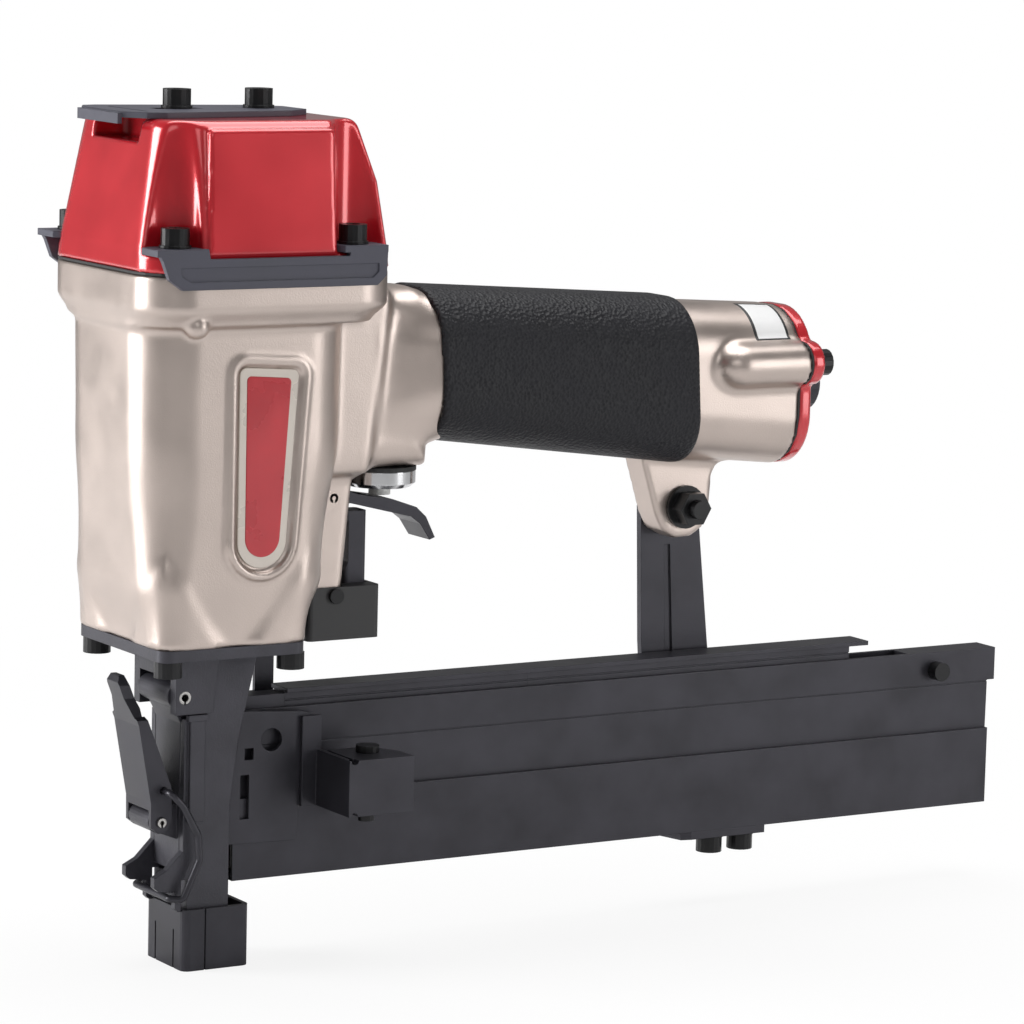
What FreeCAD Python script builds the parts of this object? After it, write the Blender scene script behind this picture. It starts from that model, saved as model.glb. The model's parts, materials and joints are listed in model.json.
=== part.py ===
import FreeCAD, Part
import math
import os
import re
import Sketcher
from FreeCAD import Matrix, Placement, Rotation, Vector

# Pneumatic crown stapler with a hinged nose door and a wire latch.
# Origin at the middle of the safety foot's underside, +Z up along the driver,
# +X back along the magazine, +Y to the tool's right, away from the label.

# Driving sizes in millimetres
SIZES = {
    # safety foot and its arm
    "foot_length": 22.6, "foot_width": 25.6, "foot_height": 19.0, "foot_wall": 1.5,
    "foot_round": 2.4, "foot_travel": 5.8, "run_gap": 0.3, "arm_width": 8.0,
    "arm_turn_low": 72.5, "arm_turn_high": 80.0, "arm_rise_front": 24.5, "arm_rise_rear": 31.0,
    "arm_plate_low": 98.8, "arm_plate_thick": 1.6, "post_front": 47.0, "post_length": 7.6,
    "post_width": 7.6, "post_top": 136.9,
    # nose casting
    "nose_tip": 6.3, "nose_width": 22.0, "nose_slot_half": 8.5, "nose_front": -11.0,
    "nose_low_front": -9.5, "nose_step": 28.2, "channel_wall_front": 0.9, "channel_wall_back": 4.4,
    "nose_back_low": 4.6, "nose_back_mid": 7.3, "nose_back_high": 14.0, "nose_mid_height": 70.0,
    "feed_half": 4.3, "feed_low": 26.0, "feed_high": 76.0,
    "flange_front": -28.0, "flange_rear": 21.0, "flange_width": 58.0, "flange_low": 98.6,
    "flange_thick": 3.6, "flange_round": 4.0,
    "hinge_x": -12.5, "hinge_z": 84.8, "hinge_block_front": -15.6, "hinge_block_rear": -3.0,
    "hinge_block_low": 79.6, "hinge_block_half": 14.0, "knuckle_half": 10.0, "knuckle_round": 4.0,
    "hinge_pin_round": 2.0, "pin_slack": 0.05,
    "ear_inner": 8.5, "ear_outer": 11.0, "ear_front": -20.5, "ear_tip": 18.4,
    # door, lever and wire latch
    "door_face": -9.6, "door_low": 30.0, "door_top": 80.0, "door_half": 8.2, "anvil_back": -0.9,
    "lever_pin_x": -17.2, "lever_pin_z": 46.0, "lever_half": 8.5, "lever_sheet": 1.6,
    "lever_top": 91.0, "lever_knuckle_round": 3.5,
    "bail_x": -16.5, "bail_z": 55.7, "wire_round": 1.1, "bail_half": 14.3,
    "hook_x": -15.6, "hook_z": 22.9,
    # magazine
    "channel_half": 6.9, "channel_wall": 1.4, "channel_low": 25.2, "channel_top": 50.6,
    "magazine_front": 8.0, "magazine_rear": 294.3, "cover_half": 5.2, "cover_wall": 1.2,
    "cover_top": 77.6, "cover_rear": 297.6, "cover_block_front": 262.0, "cover_notch": 66.7,
    "core_half": 2.3, "core_top": 72.9, "crown_width": 7.6, "staple_wire": 1.2,
    "staple_top": 74.4, "staple_leg_low": 28.6, "stick_front": 1.0, "stick_length": 60.0,
    "rail_front": 27.0, "rail_seam": 114.0, "rail_rear": 245.0, "rail_top": 83.3,
    "rail_flange": 1.4, "rail_half": 5.2, "rail_web_half": 3.6, "rail_web_rear": 238.5,
    "pusher_length": 26.0, "side_plate_thick": 1.5, "side_plate_rear": 36.0,
    "bracket_out": 31.0, "bracket_front": 35.0, "bracket_rear": 57.6, "bracket_low": 47.2,
    "bracket_high": 64.6, "bracket_sheet": 1.6,
    # barrel, collar and cap
    "barrel_front": -34.0, "barrel_rear": 35.0, "barrel_half": 31.5, "barrel_round": 16.0,
    "barrel_flare_top": 121.0, "collar_low": 199.0, "collar_front": -36.5, "collar_rear": 46.5,
    "collar_half": 38.0, "collar_round": 14.0, "seam": 214.0, "seal_thick": 0.8,
    "bore_round": 27.0, "sleeve_round": 25.0, "bore_low": 106.8, "piston_high": 206.0,
    "piston_thick": 10.0, "stroke": 68.0, "driver_thick": 1.3, "driver_width": 7.4,
    "cap_band": 220.2, "cap_top": 258.8, "cap_top_front": -29.5, "cap_top_rear": 37.0,
    "cap_top_half": 33.0, "cap_chamber_top": 249.0, "panel_front": -19.3, "panel_rear": 26.0,
    "panel_out": 38.6, "panel_top_out": 35.9, "bolt_front": -28.2, "bolt_rear": 30.8,
    "bolt_half": 34.0, "screw_head_round": 4.25, "screw_head_tall": 5.0, "screw_round": 2.5,
    "deflector_thick": 1.8, "guard_inner": 38.3, "guard_sheet": 2.2, "guard_low": 210.3,
    # handle, trigger and rear end
    "neck_half": 14.5, "neck_low": 150.5, "neck_top": 206.0, "neck_rear": 71.6,
    "web_half": 9.0, "web_low": 108.9, "web_rear": 43.5,
    "grip_front": 69.0, "grip_rear": 163.0, "grip_top_front": 206.0, "grip_low_front": 158.6,
    "grip_top_rear": 200.2, "grip_low_rear": 147.0, "grip_half": 22.0, "grip_sleeve": 1.7,
    "handle_rear": 203.0, "end_top": 196.2, "end_low": 144.8, "end_thick": 4.4,
    "boss_y": 21.0, "boss_z": 179.0, "boss_round": 7.0,
    "inlet_round": 9.5, "inlet_rear": 219.0, "inlet_bore": 5.7, "inlet_z": 170.5,
    "pivot_x": 170.9, "pivot_z": 132.0, "lug_near": -4.6, "strut_thick": 2.5,
    "trigger_x": 40.0, "trigger_z": 142.0, "valve_x": 60.9, "trigger_half": 6.6,
    "guide_front": 31.3, "guide_rear": 56.2, "guide_half": 10.0, "guide_top": 114.6,
}

doc = FreeCAD.newDocument("CrownStapler")
sheet = doc.addObject("Spreadsheet::Sheet", "Sizes")
for row, (alias, number) in enumerate(SIZES.items(), start=1):
    sheet.set("A%d" % row, alias.replace("_", " "))
    sheet.set("B%d" % row, str(number))
    sheet.setAlias("B%d" % row, alias)
doc.recompute()


class Size:
    """A number that also knows the sheet formula it comes from."""

    def __init__(self, number, text=None):
        self.number = float(number)
        self.text = text if text is not None else "(%.6g)" % number

    def __add__(self, other):
        other = size(other)
        return Size(self.number + other.number, "(%s + %s)" % (self.text, other.text))

    def __sub__(self, other):
        other = size(other)
        return Size(self.number - other.number, "(%s - %s)" % (self.text, other.text))

    def __mul__(self, other):
        other = size(other)
        return Size(self.number * other.number, "(%s * %s)" % (self.text, other.text))

    def __truediv__(self, other):
        other = size(other)
        return Size(self.number / other.number, "(%s / %s)" % (self.text, other.text))

    def __neg__(self):
        return Size(-self.number, "(0 - %s)" % self.text)

    __radd__ = __add__
    __rmul__ = __mul__

    def __rsub__(self, other):
        return size(other) - self

    def __float__(self):
        return self.number


def size(value):
    """Any plain number as a Size."""
    return value if isinstance(value, Size) else Size(value)


class Sheet:
    """Reads a named cell of the sheet as a Size."""

    def __getattr__(self, alias):
        return Size(getattr(sheet, alias), "Sizes." + alias)


S = Sheet()
PARTS = {}


def bind(thing, path, value):
    """Tie one property of a document object to its sheet formula."""
    thing.setExpression(path, size(value).text)


def keep(name, thing):
    """Register a finished sub-part under its node name."""
    thing.Label = name
    PARTS[name] = thing
    return thing


def origin_plane(body, role):
    for feature in body.Origin.OriginFeatures:
        if feature.Role == role:
            return feature


# A sketch's own offset along its plane's normal; the XZ plane's normal is -Y.
PLANES = {"xy": "XY_Plane", "xz": "XZ_Plane", "yz": "YZ_Plane"}


def attach(body, plane, low, high, name):
    """A new sketch on an origin plane, at the start of the span low to high."""
    sketch = body.newObject("Sketcher::SketchObject", name)
    sketch.AttachmentSupport = [(origin_plane(body, PLANES[plane]), "")]
    sketch.MapMode = "FlatFace"
    start = -size(high) if plane == "xz" else size(low)
    sketch.AttachmentOffset = Placement(Vector(0, 0, start.number), Rotation())
    bind(sketch, "AttachmentOffset.Base.z", start)
    return sketch


def place_point(sketch, index, end, across, up):
    """Hold one end of an edge at a bound place."""
    for kind, value in (("DistanceX", across), ("DistanceY", up)):
        value = size(value)
        number = sketch.addConstraint(Sketcher.Constraint(kind, index, end, value.number))
        bind(sketch, "Constraints[%d]" % number, value)


def outline(sketch, points):
    """A closed outline of straight edges, each corner tied to the sheet."""
    count = len(points)
    corners = [Vector(float(a), float(b), 0) for a, b in points]
    for i in range(count):
        sketch.addGeometry(Part.LineSegment(corners[i], corners[(i + 1) % count]), False)
    for i in range(count):
        sketch.addConstraint(Sketcher.Constraint("Coincident", i, 2, (i + 1) % count, 1))
        place_point(sketch, i, 1, points[i][0], points[i][1])


def circle(sketch, across, up, radius):
    """A circle tied to the sheet."""
    across, up, radius = size(across), size(up), size(radius)
    centre = Vector(across.number, up.number, 0)
    index = sketch.addGeometry(Part.Circle(centre, Vector(0, 0, 1), radius.number), False)
    place_point(sketch, index, 3, across, up)
    number = sketch.addConstraint(Sketcher.Constraint("Radius", index, radius.number))
    bind(sketch, "Constraints[%d]" % number, radius)


def rounded(sketch, left, right, low, high, radius):
    """A rectangle with equal round corners: four tangent arcs and four lines."""
    left, right, low, high, radius = [size(v) for v in (left, right, low, high, radius)]
    r = radius.number
    centres = [(right - radius, high - radius), (left + radius, high - radius),
               (left + radius, low + radius), (right - radius, low + radius)]
    for k, (across, up) in enumerate(centres):
        base = Part.Circle(Vector(across.number, up.number, 0), Vector(0, 0, 1), r)
        turn = k * math.pi / 2
        sketch.addGeometry(Part.ArcOfCircle(base, turn, turn + math.pi / 2), False)
    for k in range(4):
        here, after = centres[k], centres[(k + 1) % 4]
        turn = (k + 1) * math.pi / 2
        reach = Vector(r * math.cos(turn), r * math.sin(turn), 0)
        first = Vector(here[0].number, here[1].number, 0) + reach
        last = Vector(after[0].number, after[1].number, 0) + reach
        sketch.addGeometry(Part.LineSegment(first, last), False)
    for k, (across, up) in enumerate(centres):
        place_point(sketch, k, 3, across, up)
        number = sketch.addConstraint(Sketcher.Constraint("Radius", k, r))
        bind(sketch, "Constraints[%d]" % number, radius)
        sketch.addConstraint(Sketcher.Constraint("Tangent", k, 2, 4 + k, 1))
        sketch.addConstraint(Sketcher.Constraint("Tangent", 4 + k, 2, (k + 1) % 4, 1))


def draw(sketch, shape):
    """Draw a profile: a list of corners, ('circle', ...) or ('rounded', ...)."""
    if shape[0] == "circle":
        circle(sketch, *shape[1:])
    elif shape[0] == "rounded":
        rounded(sketch, *shape[1:])
    else:
        outline(sketch, shape)


def pad(body, plane, shape, low, high):
    """Add the profile as material from low to high along the plane's axis."""
    sketch = attach(body, plane, low, high, "Outline")
    draw(sketch, shape)
    feature = body.newObject("PartDesign::Pad", "Pad")
    feature.Profile = sketch
    length = size(high) - size(low)
    feature.Length = length.number
    bind(feature, "Length", length)
    doc.recompute()
    return feature


def cut(body, plane, shape, low, high):
    """Cut the profile away from low to high and make sure that it cuts."""
    before = body.Shape.Volume
    sketch = attach(body, plane, low, high, "CutOutline")
    draw(sketch, shape)
    feature = body.newObject("PartDesign::Pocket", "Pocket")
    feature.Profile = sketch
    length = size(high) - size(low)
    feature.Length = length.number
    bind(feature, "Length", length)
    feature.Reversed = True
    doc.recompute()
    if body.Shape.Volume >= before:
        raise RuntimeError("a pocket of %s cuts nothing" % body.Label)
    return feature


def loft(body, plane, sections, name="AdditiveLoft"):
    """Loft ruled between profiles given as (place along the axis, profile)."""
    sketches = []
    for place, shape in sections:
        sketch = attach(body, plane, place, place, "Section")
        draw(sketch, shape)
        sketches.append(sketch)
    feature = body.newObject("PartDesign::" + name, "Loft")
    feature.Profile = sketches[0]
    feature.Sections = sketches[1:]
    feature.Ruled = True
    doc.recompute()
    return feature


def body(name):
    return doc.addObject("PartDesign::Body", name)


def solid(name, plane, shape, low, high):
    """A body made of one pad."""
    new = body(name)
    pad(new, plane, shape, low, high)
    return new


def round_edges(target, radius, test):
    """Fillet each edge of a body whose middle and direction pass the test."""
    base = target.Tip
    names = []
    for number, edge in enumerate(base.Shape.Edges, start=1):
        ends = [v.Point for v in edge.Vertexes]
        if len(ends) < 2:
            continue
        middle = edge.valueAt((edge.FirstParameter + edge.LastParameter) / 2)
        along = (ends[1] - ends[0]).normalize() if (ends[1] - ends[0]).Length > 1e-6 else Vector()
        if test(middle, along):
            names.append("Edge%d" % number)
    feature = target.newObject("PartDesign::Fillet", "Fillet")
    feature.Base = (base, names)
    feature.Radius = float(radius)
    bind(feature, "Radius", radius)
    doc.recompute()
    return feature


def corners(left, right, low, high, radius, steps=4):
    """A rectangle whose corners turn in equal flat steps, so that lofts have flat sides."""
    left, right, low, high, radius = [size(v) for v in (left, right, low, high, radius)]
    centres = [(right - radius, high - radius), (left + radius, high - radius),
               (left + radius, low + radius), (right - radius, low + radius)]
    points = []
    for k, (across, up) in enumerate(centres):
        for step in range(steps + 1):
            turn = math.radians(90.0 * (k + step / steps))
            points.append((across + radius * round(math.cos(turn), 6),
                           up + radius * round(math.sin(turn), 6)))
    return points


def wheel(across, up, radius, sides=10):
    """A circle's place held by a polygon with that many flat sides."""
    across, up, radius = size(across), size(up), size(radius)
    turns = [2 * math.pi * k / sides for k in range(sides)]
    return [(across + radius * round(math.cos(turn), 6), up + radius * round(math.sin(turn), 6))
            for turn in turns]


def box(left, right, low, high):
    """Four corners of a rectangle."""
    return [(left, low), (right, low), (right, high), (left, high)]


AXES = {"x": Rotation(Vector(0, 0, 1), Vector(1, 0, 0)),
        "y": Rotation(Vector(0, 0, 1), Vector(0, 1, 0)),
        "z": Rotation()}


def rod(axis, radius, start, length, sides=0):
    """A cylinder, or a bar with that many flat sides, from a bound start along x, y or z."""
    thing = doc.addObject("Part::Prism" if sides else "Part::Cylinder", "Rod")
    if sides:
        thing.Polygon = sides
    thing.Placement = Placement(Vector(*[float(v) for v in start]), AXES[axis])
    for letter, value in zip("xyz", start):
        bind(thing, "Placement.Base." + letter, value)
    for path, value in (("Circumradius" if sides else "Radius", radius), ("Height", length)):
        setattr(thing, path, float(value))
        bind(thing, path, value)
    return thing


def block(corner, lengths, name="Block"):
    """A box from a bound corner."""
    thing = doc.addObject("Part::Box", name)
    thing.Placement = Placement(Vector(*[float(v) for v in corner]), Rotation())
    for letter, value in zip("xyz", corner):
        bind(thing, "Placement.Base." + letter, value)
    for path, value in zip(("Length", "Width", "Height"), lengths):
        setattr(thing, path, float(value))
        bind(thing, path, value)
    return thing


def fuse(things, name="Joined"):
    thing = doc.addObject("Part::MultiFuse", name)
    thing.Shapes = things
    doc.recompute()
    return thing


def minus(base, tool, name="Cut"):
    thing = doc.addObject("Part::Cut", name)
    thing.Base = base
    thing.Tool = tool
    doc.recompute()
    return thing


def group(things, name="Group"):
    """Identical separate solids kept together in one node."""
    thing = doc.addObject("Part::Compound", name)
    thing.Links = things
    doc.recompute()
    return thing


def cap_screw(axis, seat, down, length, name="Screw", washer=True):
    """A hexagon socket screw: head, socket, shank and a plain washer on its seat.

    seat is the point where it bears, down is +1 or -1 for the shank's way along the axis."""
    washer_thick = size(0.9)
    head_round, tall, shank = S.screw_head_round, S.screw_head_tall, S.screw_round
    place = "xyz".index(axis)

    def moved(distance):
        point = list(seat)
        point[place] = size(point[place]) + distance
        return point

    up = -down
    lift = washer_thick if washer else size(0)
    pieces = []
    head_start = lift if up > 0 else -(lift + tall)
    pieces.append(rod(axis, head_round, moved(head_start), tall, 18))
    if washer:
        start = size(0) if up > 0 else -washer_thick
        pieces.append(rod(axis, head_round + 0.5, moved(start), washer_thick, 18))
    shank_start = -size(length) if up > 0 else size(0)
    pieces.append(rod(axis, shank, moved(shank_start), size(length), 10))
    joined = fuse(pieces)
    socket_depth = size(2.6)
    socket = doc.addObject("Part::Prism", "Socket")
    socket.Polygon = 6
    socket.Circumradius = 2.3
    socket.Height = 2.6
    top = lift + tall - socket_depth if up > 0 else -(lift + tall)
    start = moved(top)
    socket.Placement = Placement(Vector(*[float(v) for v in start]), AXES[axis])
    for letter, value in zip("xyz", start):
        bind(socket, "Placement.Base." + letter, value)
    return minus(joined, socket, name)


# Heights and depths that several pieces share
foot_half_x = S.foot_length / 2
foot_half_y = S.foot_width / 2
arm_inner = foot_half_y - S.foot_wall
nose_half = S.nose_width / 2
flange_top = S.flange_low + S.flange_thick
flange_half = S.flange_width / 2
cap_base = S.seam + S.seal_thick
guard_outer = S.guard_inner + S.guard_sheet
channel_floor = S.channel_low + S.channel_wall
axis_tilt = (S.grip_top_rear - S.grip_top_front) / (S.grip_rear - S.grip_front)


FLANGE_BOLTS_X = (-23.5, 17.7)
FLANGE_BOLTS_Y = (-24.0, 24.0)
STRUT_SCREWS_X = (187.5, 199.5)

# Safety foot: a rounded tube round the nose's tip, with the arm's strap on its far wall
foot = solid("foot", "xy", corners(-foot_half_x, foot_half_x, -foot_half_y, foot_half_y,
                                   S.foot_round, 4), 0, S.foot_height)
cut(foot, "xy", corners(S.foot_wall - foot_half_x, foot_half_x - S.foot_wall,
                        S.foot_wall - foot_half_y, foot_half_y - S.foot_wall,
                        S.foot_round - S.foot_wall, 2), 0, S.foot_height)
seam_x = size(-4.2)
cut(foot, "xz", [(seam_x, -1), (seam_x + 0.5, -1), (seam_x + 0.5, 20), (seam_x, 20)],
    -foot_half_y, 0.6 - foot_half_y)
for groove_y in (-6.0, 6.0):
    cut(foot, "yz", box(groove_y - 0.4, size(groove_y) + 0.4, -1, 12), -foot_half_x,
        0.5 - foot_half_x)
keep("safety_foot", foot)

# Arm: strap up the far side, run back below the flange, riser, cross plate and trigger post
arm = solid("arm", "xz", [(-1, S.foot_height), (S.arm_width - 1, S.foot_height),
                          (S.arm_width - 1, S.arm_turn_low), (S.arm_rise_rear, S.arm_turn_low),
                          (S.arm_rise_rear, S.arm_plate_low + S.arm_plate_thick),
                          (S.arm_rise_front, S.arm_plate_low + S.arm_plate_thick),
                          (S.arm_rise_front, S.arm_turn_high), (-1, S.arm_turn_high)],
            arm_inner, foot_half_y)
pad(arm, "xy", box(S.arm_rise_front, S.arm_rise_rear, -4, foot_half_y), S.arm_plate_low,
    S.arm_plate_low + S.arm_plate_thick)
pad(arm, "xy", box(S.arm_rise_rear - 1, S.post_front + S.post_length, -4, 4), S.arm_plate_low,
    S.arm_plate_low + S.arm_plate_thick)
keep("safety_arm", arm)
post_half = S.post_width / 2
post = solid("post", "xy", corners(S.post_front, S.post_front + S.post_length, -post_half,
                                   post_half, 1.2, 3), S.arm_plate_low + S.arm_plate_thick, S.post_top)
cut(post, "xz", [(S.post_front - 0.1, 118), (S.post_front + 1.2, 121),
                 (S.post_front + 1.2, S.post_top - 3), (S.post_front - 0.1, S.post_top)],
    -post_half, post_half)
keep("safety_post", post)

# Nose casting: two cheeks and a back wall under the flange, with ears for the wire latch
cheek = [(S.nose_low_front, S.nose_tip), (S.nose_back_low, S.nose_tip),
         (S.nose_back_low, 50), (S.nose_back_mid, S.nose_mid_height),
         (S.nose_back_high, S.flange_low + 0.5), (S.hinge_block_rear, S.flange_low + 0.5),
         (S.hinge_block_rear, S.hinge_block_low), (S.nose_front, S.hinge_block_low - 2),
         (S.nose_front, S.nose_step), (S.nose_low_front, S.nose_step)]
nose = solid("nose", "xz", cheek, -nose_half, nose_half)
hinge_block = [(S.hinge_block_front, S.hinge_block_low), (S.hinge_block_rear, S.hinge_block_low),
               (S.hinge_block_rear + 2, S.flange_low + 0.5),
               (S.hinge_block_front, S.flange_low + 0.5)]
pad(nose, "xz", hinge_block, -S.hinge_block_half, S.hinge_block_half)
pad(nose, "xy", box(S.flange_front, S.flange_rear, -flange_half, flange_half), S.flange_low,
    flange_top)
ear = [(S.nose_front + 1.4, S.nose_step + 9), (S.nose_front, S.nose_step + 8.8),
       (S.ear_front + 4, 31.5), (S.ear_front, 29.5),
       (S.ear_front, 26.5), (S.ear_front + 1.5, S.hook_z + S.wire_round + 1.2),
       (S.hook_x + 2.2, S.hook_z + S.wire_round + 0.5), (S.hook_x + 2.2, S.ear_tip + 1),
       (S.hook_x + 3.2, S.ear_tip), (S.nose_front - S.run_gap - 0.1, S.ear_tip),
       (S.nose_front - S.run_gap - 0.1, S.nose_step), (S.nose_front + 1.4, S.nose_step)]
pad(nose, "xz", ear, S.ear_inner, S.ear_outer)
pad(nose, "xz", ear, -S.ear_outer, -S.ear_inner)
# side rail with its small cap on the near cheek
pad(nose, "xz", box(-9.6, -4.6, 46, 77), -nose_half - 1.3, 0.5 - nose_half)
pad(nose, "xz", box(-10.4, -3.8, 77, 79), -nose_half - 1.7, 0.5 - nose_half)
# gap for the door between the cheeks, open to the front
cut(nose, "xy", box(S.hinge_block_front - 1, S.channel_wall_front, -S.nose_slot_half,
                    S.nose_slot_half), S.nose_step, 80.4)
cut(nose, "xy", box(S.hinge_block_front - 1, -7.2, -S.knuckle_half - S.run_gap,
                    S.knuckle_half + S.run_gap), 79, 90.2)
cut(nose, "xy", box(-0.9, S.channel_wall_front, -S.feed_half, S.feed_half), S.nose_tip - 1,
    flange_top)
# the staples' way in from the magazine, and the room behind the back wall
cut(nose, "xy", box(0, 20, -S.feed_half, S.feed_half), S.feed_low, S.feed_high)
cut(nose, "xy", box(S.channel_wall_back, 20, -S.nose_slot_half, S.nose_slot_half),
    S.channel_low - 4, 84)
cut(nose, "xy", wheel(0, 0, 12.0, 24), S.flange_low + 1.2, flange_top)
for bolt_x in FLANGE_BOLTS_X:
    for bolt_y in FLANGE_BOLTS_Y:
        cut(nose, "xy", wheel(bolt_x, bolt_y, S.screw_round + S.pin_slack), S.flange_low,
            flange_top)
cut(nose, "xz", wheel(S.hinge_x, S.hinge_z, S.hinge_pin_round, 16), -S.hinge_block_half,
    S.hinge_block_half)
round_edges(nose, S.flange_round, lambda m, a: abs(a.z) > 0.99 and abs(abs(m.y) - 29) < 0.1
            and m.z > 98)
keep("nose_casting", nose)

# Door: plate and driver guide with a knuckle at its top and another for the lever
door = solid("door", "xz", [(S.door_face - 1.4, S.door_low), (S.anvil_back, S.door_low),
                            (S.anvil_back, S.door_top), (S.door_face + 1.6, S.door_top),
                            (S.door_face - 1.4, S.door_top - 2)], -S.door_half, S.door_half)
neck_shape = [(S.door_face - 1.4, 76), (S.door_face + 1.6, 76), (S.door_face + 1.6, S.hinge_z),
              (S.hinge_x, S.hinge_z + 2), (S.hinge_x - 2, S.hinge_z - 2)]
pad(door, "xz", neck_shape, -S.door_half, S.door_half)
pad(door, "xz", wheel(S.hinge_x, S.hinge_z, S.knuckle_round, 28), -S.knuckle_half,
    S.knuckle_half)
lug_shape = [(S.lever_pin_x, S.lever_pin_z - S.lever_knuckle_round),
             (S.door_face, S.lever_pin_z - S.lever_knuckle_round - 3),
             (S.door_face, S.lever_pin_z + S.lever_knuckle_round + 2),
             (S.lever_pin_x, S.lever_pin_z + S.lever_knuckle_round)]
lever_inner = S.lever_half - S.lever_sheet
lug_half = lever_inner - S.run_gap
pad(door, "xz", lug_shape, -lug_half, lug_half)
pad(door, "xz", wheel(S.lever_pin_x, S.lever_pin_z, S.lever_knuckle_round, 24), -lug_half,
    lug_half)
cut(door, "xz", ("circle", S.hinge_x, S.hinge_z, S.hinge_pin_round + S.pin_slack),
    -S.knuckle_half, S.knuckle_half)
cut(door, "xz", wheel(S.lever_pin_x, S.lever_pin_z, 1.5, 16), -S.door_half, S.door_half)
keep("nose_door", door)

# Roll pins: slit spring tubes
def roll_pin(axis_x, axis_z, radius, half):
    tube = rod("y", radius, (axis_x, -half, axis_z), half * 2, 16)
    hollow = rod("y", radius - 0.8, (axis_x, -half, axis_z), half * 2, 8)
    slit = block((axis_x - 0.3, -half, axis_z - radius), (0.6, half * 2, radius))
    return minus(tube, fuse([hollow, slit]))


keep("hinge_pin", roll_pin(S.hinge_x, S.hinge_z, S.hinge_pin_round, S.hinge_block_half))
keep("lever_pin", roll_pin(S.lever_pin_x, S.lever_pin_z, size(1.5), S.lever_half + 0.8))

# Lever: pressed sheet with two cheeks round the door's knuckle
front_low, front_high = size(-20.7), size(-24.0)
lever_side = [(S.lever_pin_x - 3.4, S.lever_pin_z - 1.5), (S.lever_pin_x - 1, S.lever_pin_z - 3.4),
              (S.lever_pin_x + 2, S.lever_pin_z - 3), (S.lever_pin_x + 3.8, S.lever_pin_z),
              (S.bail_x + 2.6, S.bail_z + 1), (front_high + 3.4, 74), (front_high + 1.8, 78),
              (-27.4, S.lever_top), (-29.2, S.lever_top), (-30, S.lever_top - 2),
              (front_high - 1.0, 76), (front_low, 52)]
lever = solid("lever", "xz", lever_side, -S.lever_half, S.lever_half)
cut(lever, "xz", [(-16.6, 40), (-10, 40), (-10, 70), (front_high + 1.8, 92), (front_high, 92),
                  (front_high + 0.8, 76), (front_low + S.lever_sheet, 52),
                  (front_low + S.lever_sheet, 49.8), (-24, 49.6), (-24, 40)], -lever_inner,
    lever_inner)
cut(lever, "yz", [(-12, 76), (-7.0, 78.5), (-4.2, 84), (-4.2, 88), (-2.2, 92), (-12, 92)], -40,
    -10)
cut(lever, "yz", [(12, 76), (7.0, 78.5), (4.2, 84), (4.2, 88), (2.2, 92), (12, 92)], -40, -10)
cut(lever, "xz", ("circle", S.lever_pin_x, S.lever_pin_z, size(1.5) + S.pin_slack),
    -S.lever_half, 0)
cut(lever, "xz", wheel(S.lever_pin_x, S.lever_pin_z, size(1.62) + S.pin_slack, 16), 0,
    S.lever_half)
cut(lever, "xz", ("circle", S.bail_x, S.bail_z, S.wire_round + S.pin_slack), -S.lever_half, 0)
cut(lever, "xz", wheel(S.bail_x, S.bail_z, S.wire_round + S.pin_slack + 0.1, 16), 0,
    S.lever_half)
keep("latch_lever", lever)

# Wire bail: pipe along straight runs and arcs, both ends turned into the lever's holes
def bail_shape():
    """Eight-sided wire along mitred runs, with each bend turned in three steps."""
    z_low, x_low = float(S.hook_z), float(S.hook_x)
    half, r = float(S.bail_half), float(S.wire_round)
    side = [Vector(float(S.bail_x), 0, float(S.bail_z)), Vector(-12.6, 0, 51.6),
            Vector(-7.6, 0, 42.4), Vector(-7.0, 0, 34.5), Vector(x_low + 3.2, 0, z_low)]
    inner = float(lever_inner) + 0.3
    route = [Vector(side[0].x, -inner, side[0].z)]
    route += [Vector(p.x, -half, p.z) for p in side]
    route += [Vector(x_low, -half + 3, z_low), Vector(x_low, half - 3, z_low)]
    route += [Vector(p.x, half, p.z) for p in reversed(side)]
    route.append(Vector(side[0].x, inner, side[0].z))
    bends = [0, 2.2] + [3.4] * 3 + [1.8, 1.8, 1.8, 1.8] + [3.4] * 3 + [2.2, 0]
    spine = [route[0]]
    for k in range(1, len(route) - 1):
        a = (route[k - 1] - route[k]).normalize()
        b = (route[k + 1] - route[k]).normalize()
        turn = a.getAngle(b)
        reach = bends[k] / math.tan(turn / 2)
        first, final = route[k] + a * reach, route[k] + b * reach
        bisector = (a + b).normalize()
        centre = route[k] + bisector * (bends[k] / math.sin(turn / 2))
        arc = Part.Arc(first, centre - bisector * bends[k], final)
        low, high = arc.FirstParameter, arc.LastParameter
        spine += [arc.value(low + (high - low) * step / 3) for step in range(4)]
    spine.append(route[-1])
    start, way = spine[0], (spine[1] - spine[0]).normalize()
    up = Vector(0, 0, 1)
    out = way.cross(up)
    ring = [start + up * r * math.cos(math.radians(45 * k))
            + out * r * math.sin(math.radians(45 * k)) for k in range(9)]
    path = Part.makePolygon(spine)
    return path.makePipeShell([Part.makePolygon(ring)], True, False, 1)


bail = doc.addObject("Part::Feature", "bail")
bail.Shape = bail_shape()
bail.Placement = Placement()
keep("wire_bail", bail)

# Flange screws from below
bolts = [cap_screw("z", (x, y, S.flange_low), 1, 12, washer=False)
         for x in FLANGE_BOLTS_X for y in FLANGE_BOLTS_Y]
keep("flange_screws", group(bolts))

# Lower channel of the magazine, fixed
channel_inner = S.channel_half - S.channel_wall
channel = solid("channel", "yz", [(-S.channel_half, S.channel_low), (S.channel_half, S.channel_low),
                                  (S.channel_half, S.channel_top), (channel_inner, S.channel_top),
                                  (channel_inner, channel_floor), (-channel_inner, channel_floor),
                                  (-channel_inner, S.channel_top), (-S.channel_half, S.channel_top)],
                S.magazine_front, S.magazine_rear)
for x in STRUT_SCREWS_X:
    cut(channel, "xy", wheel(x, 0, S.screw_round), S.channel_low, channel_floor)
keep("magazine_channel", channel)

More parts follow.
